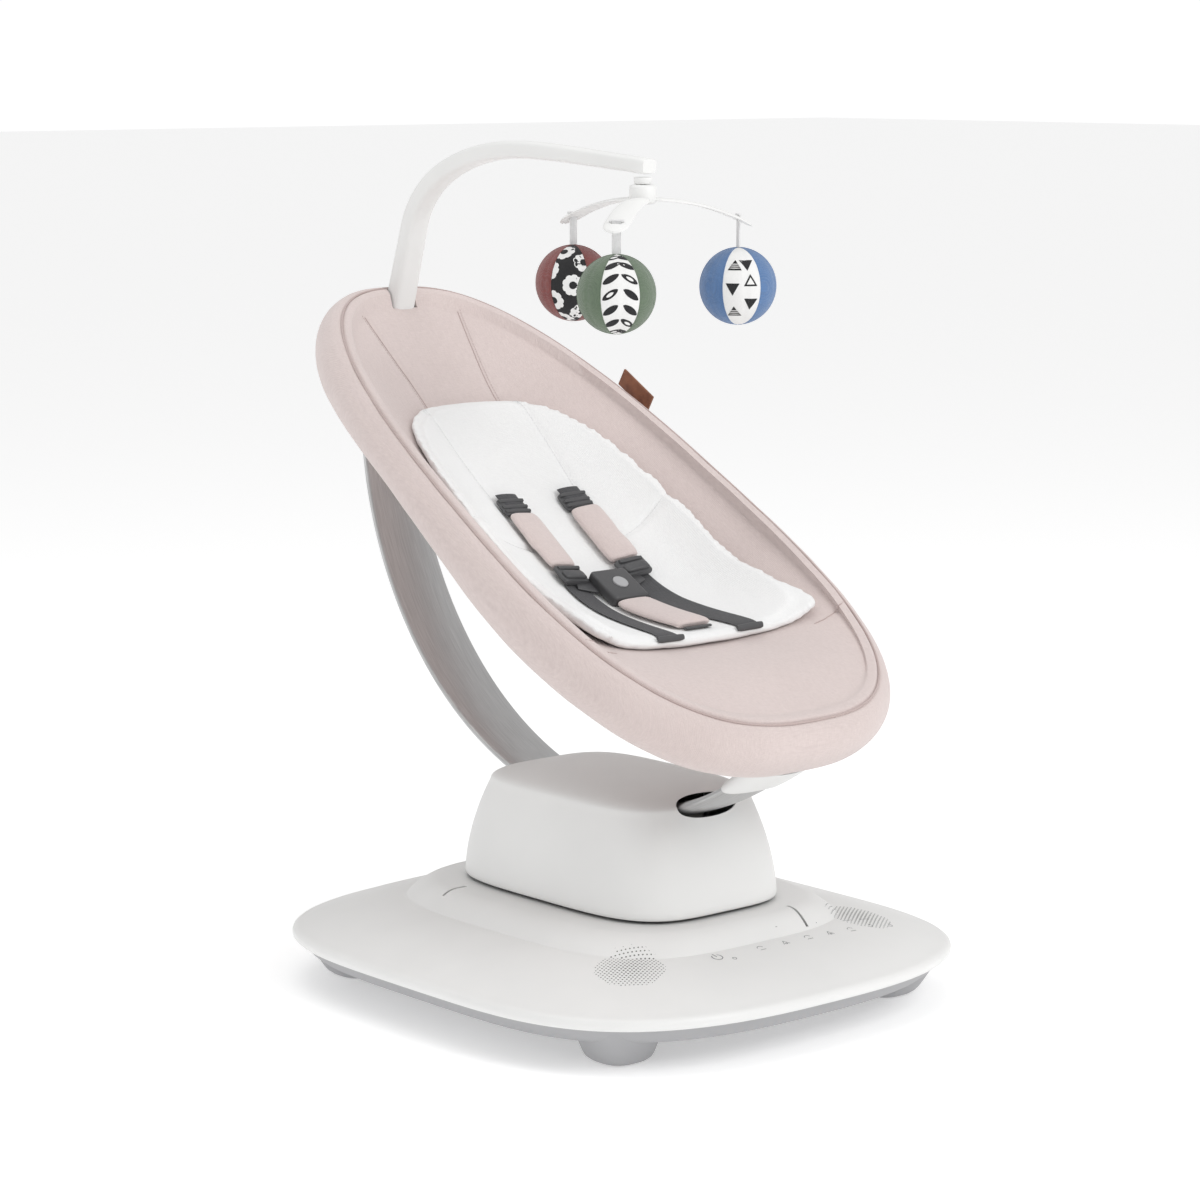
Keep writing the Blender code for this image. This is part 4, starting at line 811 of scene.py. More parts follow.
rim = seat_outline(0)
centre = Vector((0, BOWL_LOW_S))
cover_rings = [[on_seat(0, BOWL_LOW_S, bowl(0, BOWL_LOW_S))]]
for step in range(1, 56):
    share = (step / 56) ** 0.92 * 0.968
    ring = []
    for x, s in rim:
        at = centre + (Vector((x, s)) - centre) * share
        height = bowl(at.x, at.y) + slack(at.x, at.y) * (1 - share) - pulled_in(at.x, at.y, cover_seams,
                                                                                0.0011, 0.0035)
        ring.append(on_seat(at.x, at.y, height))
    cover_rings.append(ring)
band = ((-0.0100, 0.0022), (-0.0060, 0.0032), (-0.0030, 0.0034), (-0.0008, 0.0012), (0.0008, 0.0010),
        (0.0040, 0.0006), (0.0100, -0.0040), (BAND_OUT - 0.0012, -0.0150), (BAND_OUT, -0.0280),
        (BAND_OUT - 0.0040, -0.0420), (0.0060, 0.0012 - BAND_DEPTH), (0.0, -BAND_DEPTH),
        (-0.0040, -BAND_DEPTH))
for out, h in smooth_line(band, 3):
    ring = []
    for x, s in seat_outline(out):
        fold = 0.0006 * noise.noise(Vector((x * 26, s * 26, h * 30)))
        ring.append(on_seat(x, s, (h * hem_share(s) if h < -0.01 else h) + fold))
    cover_rings.append(ring)
seat_cover = skin("seat_cover_sling", cover_rings, pink_cloth, sharp=75)
face_out(seat_cover, PIVOT)
wall(seat_cover, 0.0022)
arm_slot = box_between("arm_slot", (-0.0145, 0.2950 + BASE_Y, 0.600), (0.0145, 0.3340 + BASE_Y, 0.66), None)
cut(seat_cover, arm_slot)
rail_gate = rail_sweep("rail_gate",
                       [(math.radians(34 + 10.4 * i / 8), RAIL_HALF[0] + 0.006, RAIL_HALF[1] + 0.008)
                                     for i in range(9)], white_plastic)
cut(seat_cover, rail_gate)
seat_cover.data.set_sharp_from_angle(angle=math.radians(75))
hand_over(seat_cover, "seat", "pink_cloth", "seat_cover")


def path_tree():
    """Node tree: a round cord swept along an edge path."""
    tree, made, link = new_tree("cord_on_path", "Path", ["Radius"], "Cord")
    given = made("NodeGroupInput")
    line = made("GeometryNodeMeshToCurve")
    section = made("GeometryNodeCurvePrimitiveCircle")
    section.inputs["Resolution"].default_value = 8
    sweep = made("GeometryNodeCurveToMesh")
    sweep.inputs["Fill Caps"].default_value = True
    link(given.outputs["Path"], line.inputs["Mesh"])
    link(given.outputs["Radius"], section.inputs["Radius"])
    link(line.outputs["Curve"], sweep.inputs["Curve"])
    link(section.outputs["Curve"], sweep.inputs["Profile Curve"])
    return end_tree(tree, given, sweep.outputs["Mesh"])


def stitch_tree():
    """Node tree: short thread stitches laid end to end, with gaps, along an edge path."""
    tree, made, link = new_tree("stitches_on_path", "Path", ["Pitch", "Length", "Radius"], "Stitches")
    given = made("NodeGroupInput")
    line = made("GeometryNodeMeshToCurve")
    stations = made("GeometryNodeResampleCurve")
    stations.mode = "LENGTH"
    run = made("GeometryNodeInputTangent")
    turn = made("FunctionNodeAlignRotationToVector")
    turn.axis = "Z"
    stitch = made("GeometryNodeMeshCylinder")
    stitch.inputs["Vertices"].default_value = 6
    spread = made("GeometryNodeInstanceOnPoints")
    link(given.outputs["Path"], line.inputs["Mesh"])
    link(line.outputs["Curve"], stations.inputs["Curve"])
    link(given.outputs["Pitch"], stations.inputs["Length"])
    link(given.outputs["Radius"], stitch.inputs["Radius"])
    link(given.outputs["Length"], stitch.inputs["Depth"])
    link(stations.outputs["Curve"], spread.inputs["Points"])
    link(stitch.outputs["Mesh"], spread.inputs["Instance"])
    link(run.outputs["Tangent"], turn.inputs["Vector"])
    link(turn.outputs["Rotation"], spread.inputs["Rotation"])
    return end_tree(tree, given, spread.outputs["Instances"])


def path_mesh(name, lines):
    """Edge paths as one mesh; a line that ends where it starts is closed."""
    mesh = bpy.data.meshes.new(name)
    verts, edges = [], []
    for line in lines:
        closed = (Vector(line[0]) - Vector(line[-1])).length < 1e-6
        first = len(verts)
        verts += line[:-1] if closed else line
        count = len(verts) - first
        edges += [(first + i, first + i + 1) for i in range(count - 1)]
        if closed:
            edges.append((first + count - 1, first))
    mesh.from_pydata(verts, edges, [])
    return add(name, mesh)


cord_on_path, stitches_on_path = path_tree(), stitch_tree()
cover_surface = BVHTree.FromObject(seat_cover, bpy.context.evaluated_depsgraph_get())


def lay_on(surface, x, s, rise=0.0):
    """The point of a surface under a place on the seat, lifted a little."""
    place, _, _, _ = surface.ray_cast(on_seat(x, s, 0.12), -SEAT_UP)
    return place + SEAT_UP * rise if place else on_seat(x, s, bowl(x, s) + rise)


rim_line = [on_seat(x, s, 0.0016) for x, s in seat_outline(0.0002)]
rim_cord = path_mesh("rim_cord", [rim_line + rim_line[:1]])
run_tree(rim_cord, cord_on_path, Radius=0.0011, Finish=seam_thread)
rim_cord.data.shade_smooth()
hand_over(rim_cord, "seat", "pink_cloth")

seam_paths = [[lay_on(cover_surface, x, s, 0.0001) for x, s in line] for line in cover_seams]
cover_seam_cord = path_mesh("cover_seam_cord", seam_paths)
run_tree(cover_seam_cord, cord_on_path, Radius=0.0005, Finish=seam_thread)
hand_over(cover_seam_cord, "seat", "pink_cloth")
beside = [[lay_on(cover_surface, x + 0.0030 * (1 if x > 0 else -1), s + 0.001, 0.0002) for x, s in line]
          for line in cover_seams]
cover_stitches = path_mesh("cover_stitches", beside)
run_tree(cover_stitches, stitches_on_path, Pitch=0.0032, Length=0.0020, Radius=0.00022, Finish=seam_thread)
hand_over(cover_stitches, "seat", "pink_cloth")


# ---- Padded liner ----
# A soft white knitted pad, filled with wadding and sewn through along the back panel and across the wings.
# It lies in the sling and is held by the harness straps that pass through its slots.

LINER_EDGE = ((0, -0.1980), (0.0800, -0.1965), (0.1240, -0.1890), (0.1310, -0.1680), (0.1270, -0.1200),
              (0.1215, -0.0600), (0.1205, 0.0000), (0.1140, 0.0690), (0.1080, 0.1060), (0.0980, 0.1410),
              (0.0790, 0.1710), (0.0450, 0.1900), (0, 0.1950))
LINER_S = -0.0100
LINER_LIFT = 0.0020
LINER_THICK = 0.0078
LINER_SEAMS = (((0.0560, 0.1900), (0.0545, 0.1200), (0.0500, 0.0550), (0.0450, -0.0050)),
               ((0.0450, -0.0050), (0.0800, 0.0020), (0.1180, 0.0180)))

liner_knit = woven_cloth("white_knit", (0.90, 0.90, 0.895), (0.84, 0.84, 0.84), 0.0014, 0.25, 0.0003)


def puff(piece, voxel, pressure, most):
    """Blows a closed form up as a sewn pad, with no point going further than a given distance."""
    grain = piece.modifiers.new("even_mesh", "REMESH")
    grain.mode = "VOXEL"
    grain.voxel_size = voxel
    settle(piece)
    before = np.empty(len(piece.data.vertices) * 3)
    piece.data.vertices.foreach_get("co", before)
    cloth = piece.modifiers.new("cloth", "CLOTH")
    cloth.settings.use_pressure = True
    cloth.settings.uniform_pressure_force = pressure
    cloth.settings.effector_weights.gravity = 0
    for frame_number in range(1, 21):
        bpy.context.scene.frame_set(frame_number)
    settle(piece)
    bpy.context.scene.frame_set(1)
    after = np.empty(len(before))
    piece.data.vertices.foreach_get("co", after)
    step = (after - before).reshape(-1, 3)
    length = np.linalg.norm(step, axis=1, keepdims=True)
    step *= np.minimum(1.0, most / np.maximum(length, 1e-9))
    piece.data.vertices.foreach_set("co", (before.reshape(-1, 3) + step).ravel())
    finer = piece.modifiers.new("finer", "SUBSURF")
    finer.levels = finer.render_levels = 1
    settle(piece)
    piece.data.shade_smooth()
    return piece


liner_right = smooth_line(LINER_EDGE, 8)
liner_outline = [Vector(p) for p in liner_right] + [Vector((-x, s)) for x, s in liner_right[-2:0:-1]]
liner_middle = Vector((0, LINER_S))


def liner_ring(share, rise, out=0.0):
    ring = []
    for edge in liner_outline:
        at = liner_middle + (edge - liner_middle) * share
        at += (edge - liner_middle).normalized() * out
        curl = 0.0055 * min(1.0, max(0.0, (abs(at.x) - 0.080) / 0.040)) ** 2
        ring.append(on_seat(at.x, at.y, bowl(at.x, at.y) + LINER_LIFT + curl + rise * (1 + 60 * curl)))
    return ring


liner_rings = [[on_seat(0, LINER_S, bowl(0, LINER_S) + LINER_LIFT + LINER_THICK)]]
liner_rings += [liner_ring(i / 26, LINER_THICK) for i in range(1, 26)]
for turn in (60, 30, 0, -30, -60):
    liner_rings.append(liner_ring(0.985, LINER_THICK / 2 * (1 + math.sin(math.radians(turn))),
                                  0.5 * LINER_THICK * math.cos(math.radians(turn))))
liner_rings += [liner_ring(i / 26, 0.0) for i in range(25, 0, -1)]
liner_rings.append([on_seat(0, LINER_S, bowl(0, LINER_S) + LINER_LIFT)])
liner = skin("padded_liner", liner_rings, liner_knit)
puff(liner, 0.0042, 4.0, 0.0030)
liner_seams = both_hands(LINER_SEAMS)
for vertex in liner.data.vertices:
    at = SEAT_BACK @ vertex.co
    floor_h = bowl(at.x, at.y) + 0.0012
    above = at.z - floor_h
    if above > 0.8 * LINER_THICK:
        at.z -= pulled_in(at.x, at.y, liner_seams, 0.0024, 0.0042)
        at.z += 0.5 * slack(at.x, at.y)
    at.z = max(at.z, floor_h)
    vertex.co = SEAT @ at
hand_over(liner, "seat", "white_cloth", "seat_insert")
liner_surface = BVHTree.FromObject(liner, bpy.context.evaluated_depsgraph_get())
seam_grey = woven_cloth("white_seam_thread", (0.74, 0.74, 0.74), (0.66, 0.66, 0.66), 0.0006)
liner_paths = [[lay_on(liner_surface, x, s, 0.0001) for x, s in line[:-1]] for line in liner_seams]
liner_stitches = path_mesh("liner_stitches", liner_paths)
run_tree(liner_stitches, stitches_on_path, Pitch=0.0034, Length=0.0024, Radius=0.0002, Finish=seam_grey)
hand_over(liner_stitches, "seat", "white_cloth")


# ---- Harness ----
# Five-point harness: padded shoulder sleeves in the seat's cloth, woven dark webbing, moulded adjusters
# and buckle tongues, and a padded crotch piece. Everything lies on the liner and follows its hollow.

webbing = woven_cloth("dark_webbing", (0.090, 0.090, 0.095), (0.045, 0.045, 0.048), 0.0016, 0.10, 0.0004)
dark_plastic = moulded_plastic("dark_moulded_plastic", (0.070, 0.070, 0.073), 0.42)


def liner_height(x, s):
    return (SEAT_BACK @ lay_on(liner_surface, x, s)).z


def seat_box(node):
    """A plain solid's box in the seat's own directions: across, up the seat, and off it."""
    corners = [SEAT_BACK @ v.co for v in frame["nodes"][node].data.vertices]
    return [Vector((min(c[i] for c in corners), max(c[i] for c in corners), 0)) for i in range(3)]


def lying_strip(name, line, half, thickness, material, rise=0.0006, crown=0.0, taper=0.0, power=4.0):
    """A strip laid along a line on the liner, soft-edged in section, that bends across its width as well."""
    shares = (-1.0, -0.5, 0.0, 0.5, 1.0)
    spots, fits = [], []
    for i, (x, s) in enumerate(line):
        before, after = Vector(line[max(0, i - 1)]), Vector(line[min(len(line) - 1, i + 1)])
        along = (after - before).normalized()
        across = Vector((along.y, -along.x))
        heights = [liner_height(x + across.x * half * k, s + across.y * half * k) for k in shares]
        fits.append(np.polyfit(shares, heights, 2))
        spots.append((Vector((x, s)), across))
    fits = np.array(fits)
    fits = np.array([fits[max(0, i - 2):i + 3].mean(axis=0) for i in range(len(fits))])
    rings = []
    count = len(line) - 1
    for i, ((at, across), fit) in enumerate(zip(spots, fits)):
        along = abs(2 * i / count - 1)
        narrow = 1 - taper * along ** 8
        ring = []
        for u, w in superellipse(half * narrow, thickness / 2 * (1 - 0.5 * taper * along ** 12), power, 2.4,
                                 40):
            share = u / half
            lift = rise + thickness / 2 + w + crown * (1 - share * share) * (1 - along ** 4)
            place = at + across * u
            ring.append(on_seat(place.x, place.y, float(np.polyval(fit, share)) + lift))
        rings.append(ring)
    return skin(name, rings, material, caps=(True, True), sharp=60)


def seat_line(x, start, end, count, end_x=None):
    end_x = x if end_x is None else end_x
    return [(x + (end_x - x) * i / count, start + (end - start) * i / count) for i in range(count + 1)]


def add_finer(piece, levels=1):
    finer = piece.modifiers.new("finer", "SUBSURF")
    finer.levels = finer.render_levels = levels
    return settle(piece)


STRAP_X = 0.0370
PAD_HALF = 0.0168
for side, hand in ((-1, "left"), (1, "right")):
    low, high = seat_box(f"shoulder_pad_{hand}")[1][:2]
    pad = lying_strip(f"shoulder_pad_{hand}_cover", seat_line(side * STRAP_X, low, high, 26), PAD_HALF,
                      0.0080,
                      pink_cloth, 0.0022, 0.0030, 0.16, 3.0)
    add_finer(pad)
    hand_over(pad, "seat", "pink_cloth", f"shoulder_pad_{hand}")

    low, high = seat_box(f"strap_adjuster_{hand}")[1][:2]
    plate = lying_strip(f"strap_adjuster_{hand}_frame", seat_line(side * STRAP_X, low + 0.001, high, 10),
                        0.0160,
                        0.0042, dark_plastic, 0.0012, 0.0, 0.10)
    hand_over(plate, "seat", "dark_plastic", f"strap_adjuster_{hand}")
    for bar_s in (low + 0.0050, (low + high) / 2, high - 0.0030):
        ends = [(side * STRAP_X - 0.0145, bar_s), (side * STRAP_X + 0.0145, bar_s)]
        bar = lying_strip(f"adjuster_bar_{hand}_{round(bar_s * 1000)}",
                          [tuple(Vector(ends[0]).lerp(Vector(ends[1]), i / 6)) for i in range(7)], 0.0020,
                          0.0030,
                          dark_plastic, 0.0042, 0.0, 0.2, 2.4)
        hand_over(bar, "seat", "dark_plastic")
    tail = lying_strip(f"shoulder_web_{hand}", seat_line(side * STRAP_X, low + 0.002, high + 0.0060, 10),
                       0.0122,
                       0.0014, webbing, 0.0046)
    hand_over(tail, "seat", "webbing")

    low, high = seat_box(f"strap_slider_{hand}")[1][:2]
    body = lying_strip(f"strap_slider_{hand}_body", seat_line(side * STRAP_X, low, high - 0.001, 12),
                       0.0160, 0.0060,
                       dark_plastic, 0.0034, 0.0006, 0.14)
    hand_over(body, "seat", "dark_plastic", f"strap_slider_{hand}")
    middle = (low + high) / 2
    hump = lying_strip(f"slider_hump_{hand}", seat_line(side * STRAP_X, low + 0.002, middle + 0.001, 8),
                       0.0130,
                       0.0050, dark_plastic, 0.0072, 0.0010, 0.25)
    hand_over(hump, "seat", "dark_plastic")
    lip = lying_strip(f"slider_lip_{hand}",
                      [(side * STRAP_X - 0.0125 + 0.025 * i / 6, high - 0.0050) for i in range(7)], 0.0022,
                      0.0034,
                      dark_plastic, 0.0082, 0.0, 0.2, 2.4)
    hand_over(lip, "seat", "dark_plastic")

    waist_line = smooth_line([(side * (STRAP_X + 0.001), low + 0.002), (side * 0.0410, -0.1100),
                              (side * 0.0450, -0.1600), (side * 0.0470, -0.1900)], 9)
    waist = lying_strip(f"waist_web_{hand}", waist_line, 0.0123, 0.0015, webbing, 0.0010)
    hand_over(waist, "seat", "webbing", f"waist_strap_{hand}")
    loop = lying_strip(f"waist_loop_{hand}",
                       [(side * 0.0470 - 0.0150 + 0.030 * i / 8, -0.1915) for i in range(9)], 0.0028, 0.0030,
                       dark_plastic, 0.0012, 0.0, 0.2, 2.4)
    hand_over(loop, "seat", "dark_plastic")
    inner = side * 0.0130
    tongue = lying_strip(f"buckle_tongue_{hand}",
                         [(side * STRAP_X + (inner - side * STRAP_X) * i / 8, low + 0.003 - 0.008 * i / 8)
                          for i in range(9)], 0.0100, 0.0036, dark_plastic, 0.0024, 0.0, 0.08)
    hand_over(tongue, "seat", "dark_plastic")

crotch_s = seat_box("crotch_pad")[1]
crotch = lying_strip("crotch_pad_cover", seat_line(0, crotch_s[0], crotch_s[1], 26), 0.0212, 0.0080,
                     pink_cloth,
                     0.0010, 0.0030, 0.14, 3.0)
add_finer(crotch)
hand_over(crotch, "seat", "pink_cloth", "crotch_pad")
crotch_loop = lying_strip("crotch_loop",
                          [(-0.0150 + 0.030 * i / 8, crotch_s[0] - 0.0035) for i in range(9)], 0.0026,
                          0.0030, dark_plastic, 0.0010, 0.0, 0.2, 2.4)
hand_over(crotch_loop, "seat", "dark_plastic")


def seat_block(name, low, high, material, edge, segments=4):
    """A rounded box lined up with the seat."""
    made = box_between(name, low, high, material, edge, segments)
    made.data.transform(SEAT)
    return made


buckle_x, buckle_s, buckle_h = seat_box("harness_buckle")
buckle_top = buckle_h[1]
buckle = seat_block("harness_buckle_body", (buckle_x[0], buckle_s[0], buckle_h[0]),
                    (buckle_x[1], buckle_s[1], buckle_top), dark_plastic, 0.0038)
button_x, button_s, button_h = seat_box("release_button")
button_middle = ((button_x[0] + button_x[1]) / 2, (button_s[0] + button_s[1]) / 2)
well_radius = (button_x[1] - button_x[0]) / 2 + 0.0003
well = skin("button_well", [[on_seat(button_middle[0] + x, button_middle[1] + s, h)
                             for x, s in superellipse(well_radius, well_radius, 2, count=48)]
                            for h in (button_h[0] - 0.0034, buckle_top + 0.01)], dark_plastic,
            caps=(True, True))
cut(buckle, well)
hand_over(buckle, "seat", "dark_plastic", "harness_buckle")


# ---- Leather tag ----
# A small brown hide label, plain and unmarked, that stands out from the band on the right of the seat.
# A row of stitches runs round its edge.

tag_hide = principled("brown_hide", 0.58)
paint(tag_hide,
      blend_colours(tag_hide, cloudy(tag_hide, 90.0, detail=6.0), (0.17, 0.060, 0.030),
                    (0.27, 0.105, 0.052)))
emboss(tag_hide, cloudy(tag_hide, 700.0, detail=4.0), 0.00025, 0.8)
tag_x, tag_s, tag_h = seat_box("leather_tag")
tag = seat_block("leather_tag_hide", (tag_x[0], tag_s[0], tag_h[0]), (tag_x[1], tag_s[1], tag_h[1]),
                 tag_hide, 0.0009)
hand_over(tag, "seat", "tag_leather", "leather_tag")
tag_thread = woven_cloth("tag_thread", (0.42, 0.22, 0.13), (0.32, 0.15, 0.09), 0.0006)
inset = 0.0026
corners = [(tag_s[0] + inset, tag_h[0] + inset), (tag_s[1] - inset, tag_h[0] + inset),
           (tag_s[1] - inset, tag_h[1] - inset), (tag_s[0] + inset, tag_h[1] - inset)]
tag_line = [on_seat(tag_x[1] + 0.0001, s, h) for s, h in corners]
tag_stitches = path_mesh("tag_stitches", [tag_line + tag_line[:1]])
run_tree(tag_stitches, stitches_on_path, Pitch=0.0030, Length=0.0019, Radius=0.0003, Finish=tag_thread)
hand_over(tag_stitches, "seat", "tag_leather")


# ---- Mobile arm, post and spider ----
# A white moulded arm that rises from behind the head end, bends over the seat and carries a short post.
# A three-bladed spider hangs from it and turns; each blade droops to a slotted tip for a toy's strap.

ARM_ROOT_HALF, ARM_TIP_HALF = (0.0130, 0.0108), (0.0088, 0.0070)
ARM_LINE = ((0.3200, 0.5980), (0.3120, 0.6240), (0.3020, 0.6560), (0.2880, 0.6940), (0.2610, 0.7220),
            (0.2210, 0.7410), (0.1750, 0.7515), (0.1290, 0.7540), (0.0800, 0.7520), (0.0250, 0.7480),
            (-0.0400, 0.7430))
arm_points = smooth_line(ARM_LINE, 12)
arm_rings = []
for i, (y, z) in enumerate(arm_points):
    before, after = arm_points[max(0, i - 1)], arm_points[min(len(arm_points) - 1, i + 1)]
    along = Vector((0, after[0] - before[0], after[1] - before[1])).normalized()
    out = Vector((0, -along.z, along.y))
    shrink = 0.0010 if i in (0, len(arm_points) - 1) else 0.0
    half = Vector(ARM_ROOT_HALF).lerp(Vector(ARM_TIP_HALF), i / (len(arm_points) - 1))
    arm_rings.append([Vector((x, y + BASE_Y, z)) + out * d
                      for x, d in superellipse(half.x - shrink, half.y - shrink, 3.6, count=40)])
mobile_arm = skin("mobile_arm_moulding", arm_rings, white_plastic, caps=(True, True), sharp=60)
hand_over(mobile_arm, "seat", "white_shell", "mobile_arm")


def turned(name, middle, profile, material, count=48):
    """A turned piece: (radius, height) pairs from its foot to its top, round an upright line."""
    rings = [[Vector((middle[0] + r * math.cos(2 * math.pi * i / count),
                      middle[1] + r * math.sin(2 * math.pi * i / count), z)) for i in range(count)]
             for r, z in profile]
    return skin(name, rings, material, caps=(True, True), sharp=50)


post_low, post_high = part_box("mobile_post")
hub_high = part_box("mobile_spider")[1]
MOBILE = ((post_low.x + post_high.x) / 2, (post_low.y + post_high.y) / 2)
POST_RADIUS = (post_high.x - post_low.x) / 2
HUB_TOP, HUB_BOTTOM = hub_high.z, hub_high.z - 0.0170
post = turned("mobile_post_turned", MOBILE, [(0.0030, HUB_BOTTOM + 0.0030), (0.0030, HUB_TOP + 0.0006),
              (POST_RADIUS - 0.0008, HUB_TOP + 0.0006), (POST_RADIUS, HUB_TOP + 0.0014),
              (POST_RADIUS, post_high.z)], white_plastic)
hand_over(post, "seat", "white_shell", "mobile_post")
hub = turned("mobile_hub", MOBILE,
             [(0.0080, HUB_BOTTOM), (0.0105, HUB_BOTTOM + 0.0006), (0.0120, HUB_BOTTOM + 0.0026),
             (0.0120, HUB_TOP - 0.0022), (0.0112, HUB_TOP - 0.0008), (0.0098, HUB_TOP)], white_plastic)
bore = turned("hub_bore", MOBILE, [(0.0032, HUB_BOTTOM + 0.0026), (0.0032, HUB_TOP + 0.01)], white_plastic)
cut(hub, bore)
hand_over(hub, "spider", "white_shell", "mobile_spider")

BLADE_REACH = 0.1000
BLADE_HALF = (0.0120, 0.0016)
BALL_REACH = 0.0876
TOYS = (("red", 93.5), ("blue", -26.5), ("green", 213.5))
for colour, turn in TOYS:
    about = Matrix.Translation((*MOBILE, 0)) @ Matrix.Rotation(math.radians(turn - 90), 4, "Z")
    blade_rings = []
    for step in range(41):
        reach = 0.006 + (BLADE_REACH - 0.006) * step / 40
        near_tip = max(0.0, (reach - 0.086) / (BLADE_REACH - 0.086))
        near_hub = max(0.0, 1 - (reach - 0.006) / 0.020)
        width = BLADE_HALF[0] * math.sqrt(max(0.02, 1 - near_tip ** 2)) * (1 - 0.42 * near_hub ** 2)
        depth = BLADE_HALF[1] * (1 - 0.45 * near_tip ** 3)
        drop = 0.0240 * (reach / BLADE_REACH) ** 2.2
        base_z = HUB_BOTTOM + 0.0035 - drop
        blade_rings.append([about @ Vector((x, reach, base_z + d + 0.0012 * (1 - (x / width) ** 2)))
                            for x, d in superellipse(width, depth, 2.6, count=32)])
    blade = skin(f"mobile_blade_{colour}", blade_rings, white_plastic, caps=(True, True), sharp=60)
    slot = box_between("slot", (-0.0048, BALL_REACH - 0.0026, 0.66), (0.0048, BALL_REACH + 0.0026, 0.76),
                       None)
    slot.data.transform(about)
    cut(blade, slot)
    hand_over(blade, "spider", "white_shell")


# ---- Toy balls ----
# Three stuffed cloth balls of six gores: three in plain coloured felt and three in printed cotton, with
# large plain shapes in black and white. Each hangs from the spider on a short white tape.

white_print = woven_cloth("white_print_cotton", (0.86, 0.86, 0.85), (0.78, 0.78, 0.77), 0.0009, 0.15,
                          0.00015)
black_print = woven_cloth("black_print_cotton", (0.022, 0.022, 0.024), (0.012, 0.012, 0.013), 0.0009, 0.10,
                          0.00015)
FELTS = {"red": ((0.255, 0.072, 0.065), (0.165, 0.040, 0.038)),
         "blue": ((0.115, 0.225, 0.440), (0.070, 0.150, 0.320)),
         "green": ((0.150, 0.205, 0.135), (0.090, 0.130, 0.085))}
GORE = math.radians(60)
BALL_RADIUS = 0.0340
PRINT_FACES = {"red": -137, "green": -125, "blue": -127}


def ball_point(middle, turn, climb, rise=0.0):
    """A place on a ball, by its turn round the upright line, its climb and its rise off the cloth."""
    seam = abs(math.remainder(turn - GORE / 2, GORE)) / (GORE / 2)
    puffed = BALL_RADIUS * (1 - 0.020 * max(0.0, seam - 0.82) / 0.18 * math.cos(climb))
    radius = puffed + rise
    return middle + radius * Vector((math.cos(climb) * math.cos(turn), math.cos(climb) * math.sin(turn),
                                     math.sin(climb)))


def flower(part):
    petal = 0.0086 + 0.0011 * abs(math.cos(4.5 * part)) ** 0.5
    return Vector((petal * math.cos(part), petal * math.sin(part)))


def disc(radius):
    return lambda part: Vector((radius * math.cos(part), radius * math.sin(part)))


def leaf(part, tilt, size=1.0):
    spot = Vector((0.0082 * math.cos(part), 0.0030 * math.sin(part) * abs(math.sin(part)) ** 0.35)) * size
    spot.rotate(Matrix.Rotation(tilt, 2))
    return spot


def triangle(part, size, tilt=0.0):
    third = 2 * math.pi / 3
    reach = size * math.cos(third / 2) / math.cos((part - math.pi / 2) % third - third / 2)
    spot = Vector((reach * math.cos(part), reach * math.sin(part)))
    spot.rotate(Matrix.Rotation(tilt, 2))
    return spot


def printed(name, middle, shapes, material, body, slot, gore_starts, rise):
    """Filled printed outlines on a ball's patterned gores, which stop at the seams."""
    shape = bmesh.new()
    for gore_start in gore_starts:
        for outline, turn, climb in shapes:
            corners = 36
            rows = []
            for share in (0.0, 0.5, 1.0):
                row = []
                for i in range(1 if share == 0 else corners):
                    spot = outline(2 * math.pi * i / corners) * share
                    up = max(-1.45, min(1.45, climb + spot.y / BALL_RADIUS))
                    along = turn + spot.x / (BALL_RADIUS * max(0.12, math.cos(up)))
                    along = max(0.02, min(GORE - 0.02, along))
                    row.append(shape.verts.new(ball_point(middle, gore_start + along, up, rise)))
                rows.append(row)
            for row, following in zip(rows, rows[1:]):
                for i in range(corners):
                    j = (i + 1) % corners
                    ring = [row[i % len(row)], following[i], following[j], row[j % len(row)]]
                    shape.faces.new(list(dict.fromkeys(ring)))
    bmesh.ops.dissolve_degenerate(shape, dist=1e-5, edges=shape.edges)
    mesh = mesh_of(shape, name)
    mesh.materials.append(material)
    mesh.shade_smooth()
    return hand_over(add(name, mesh), body, slot)


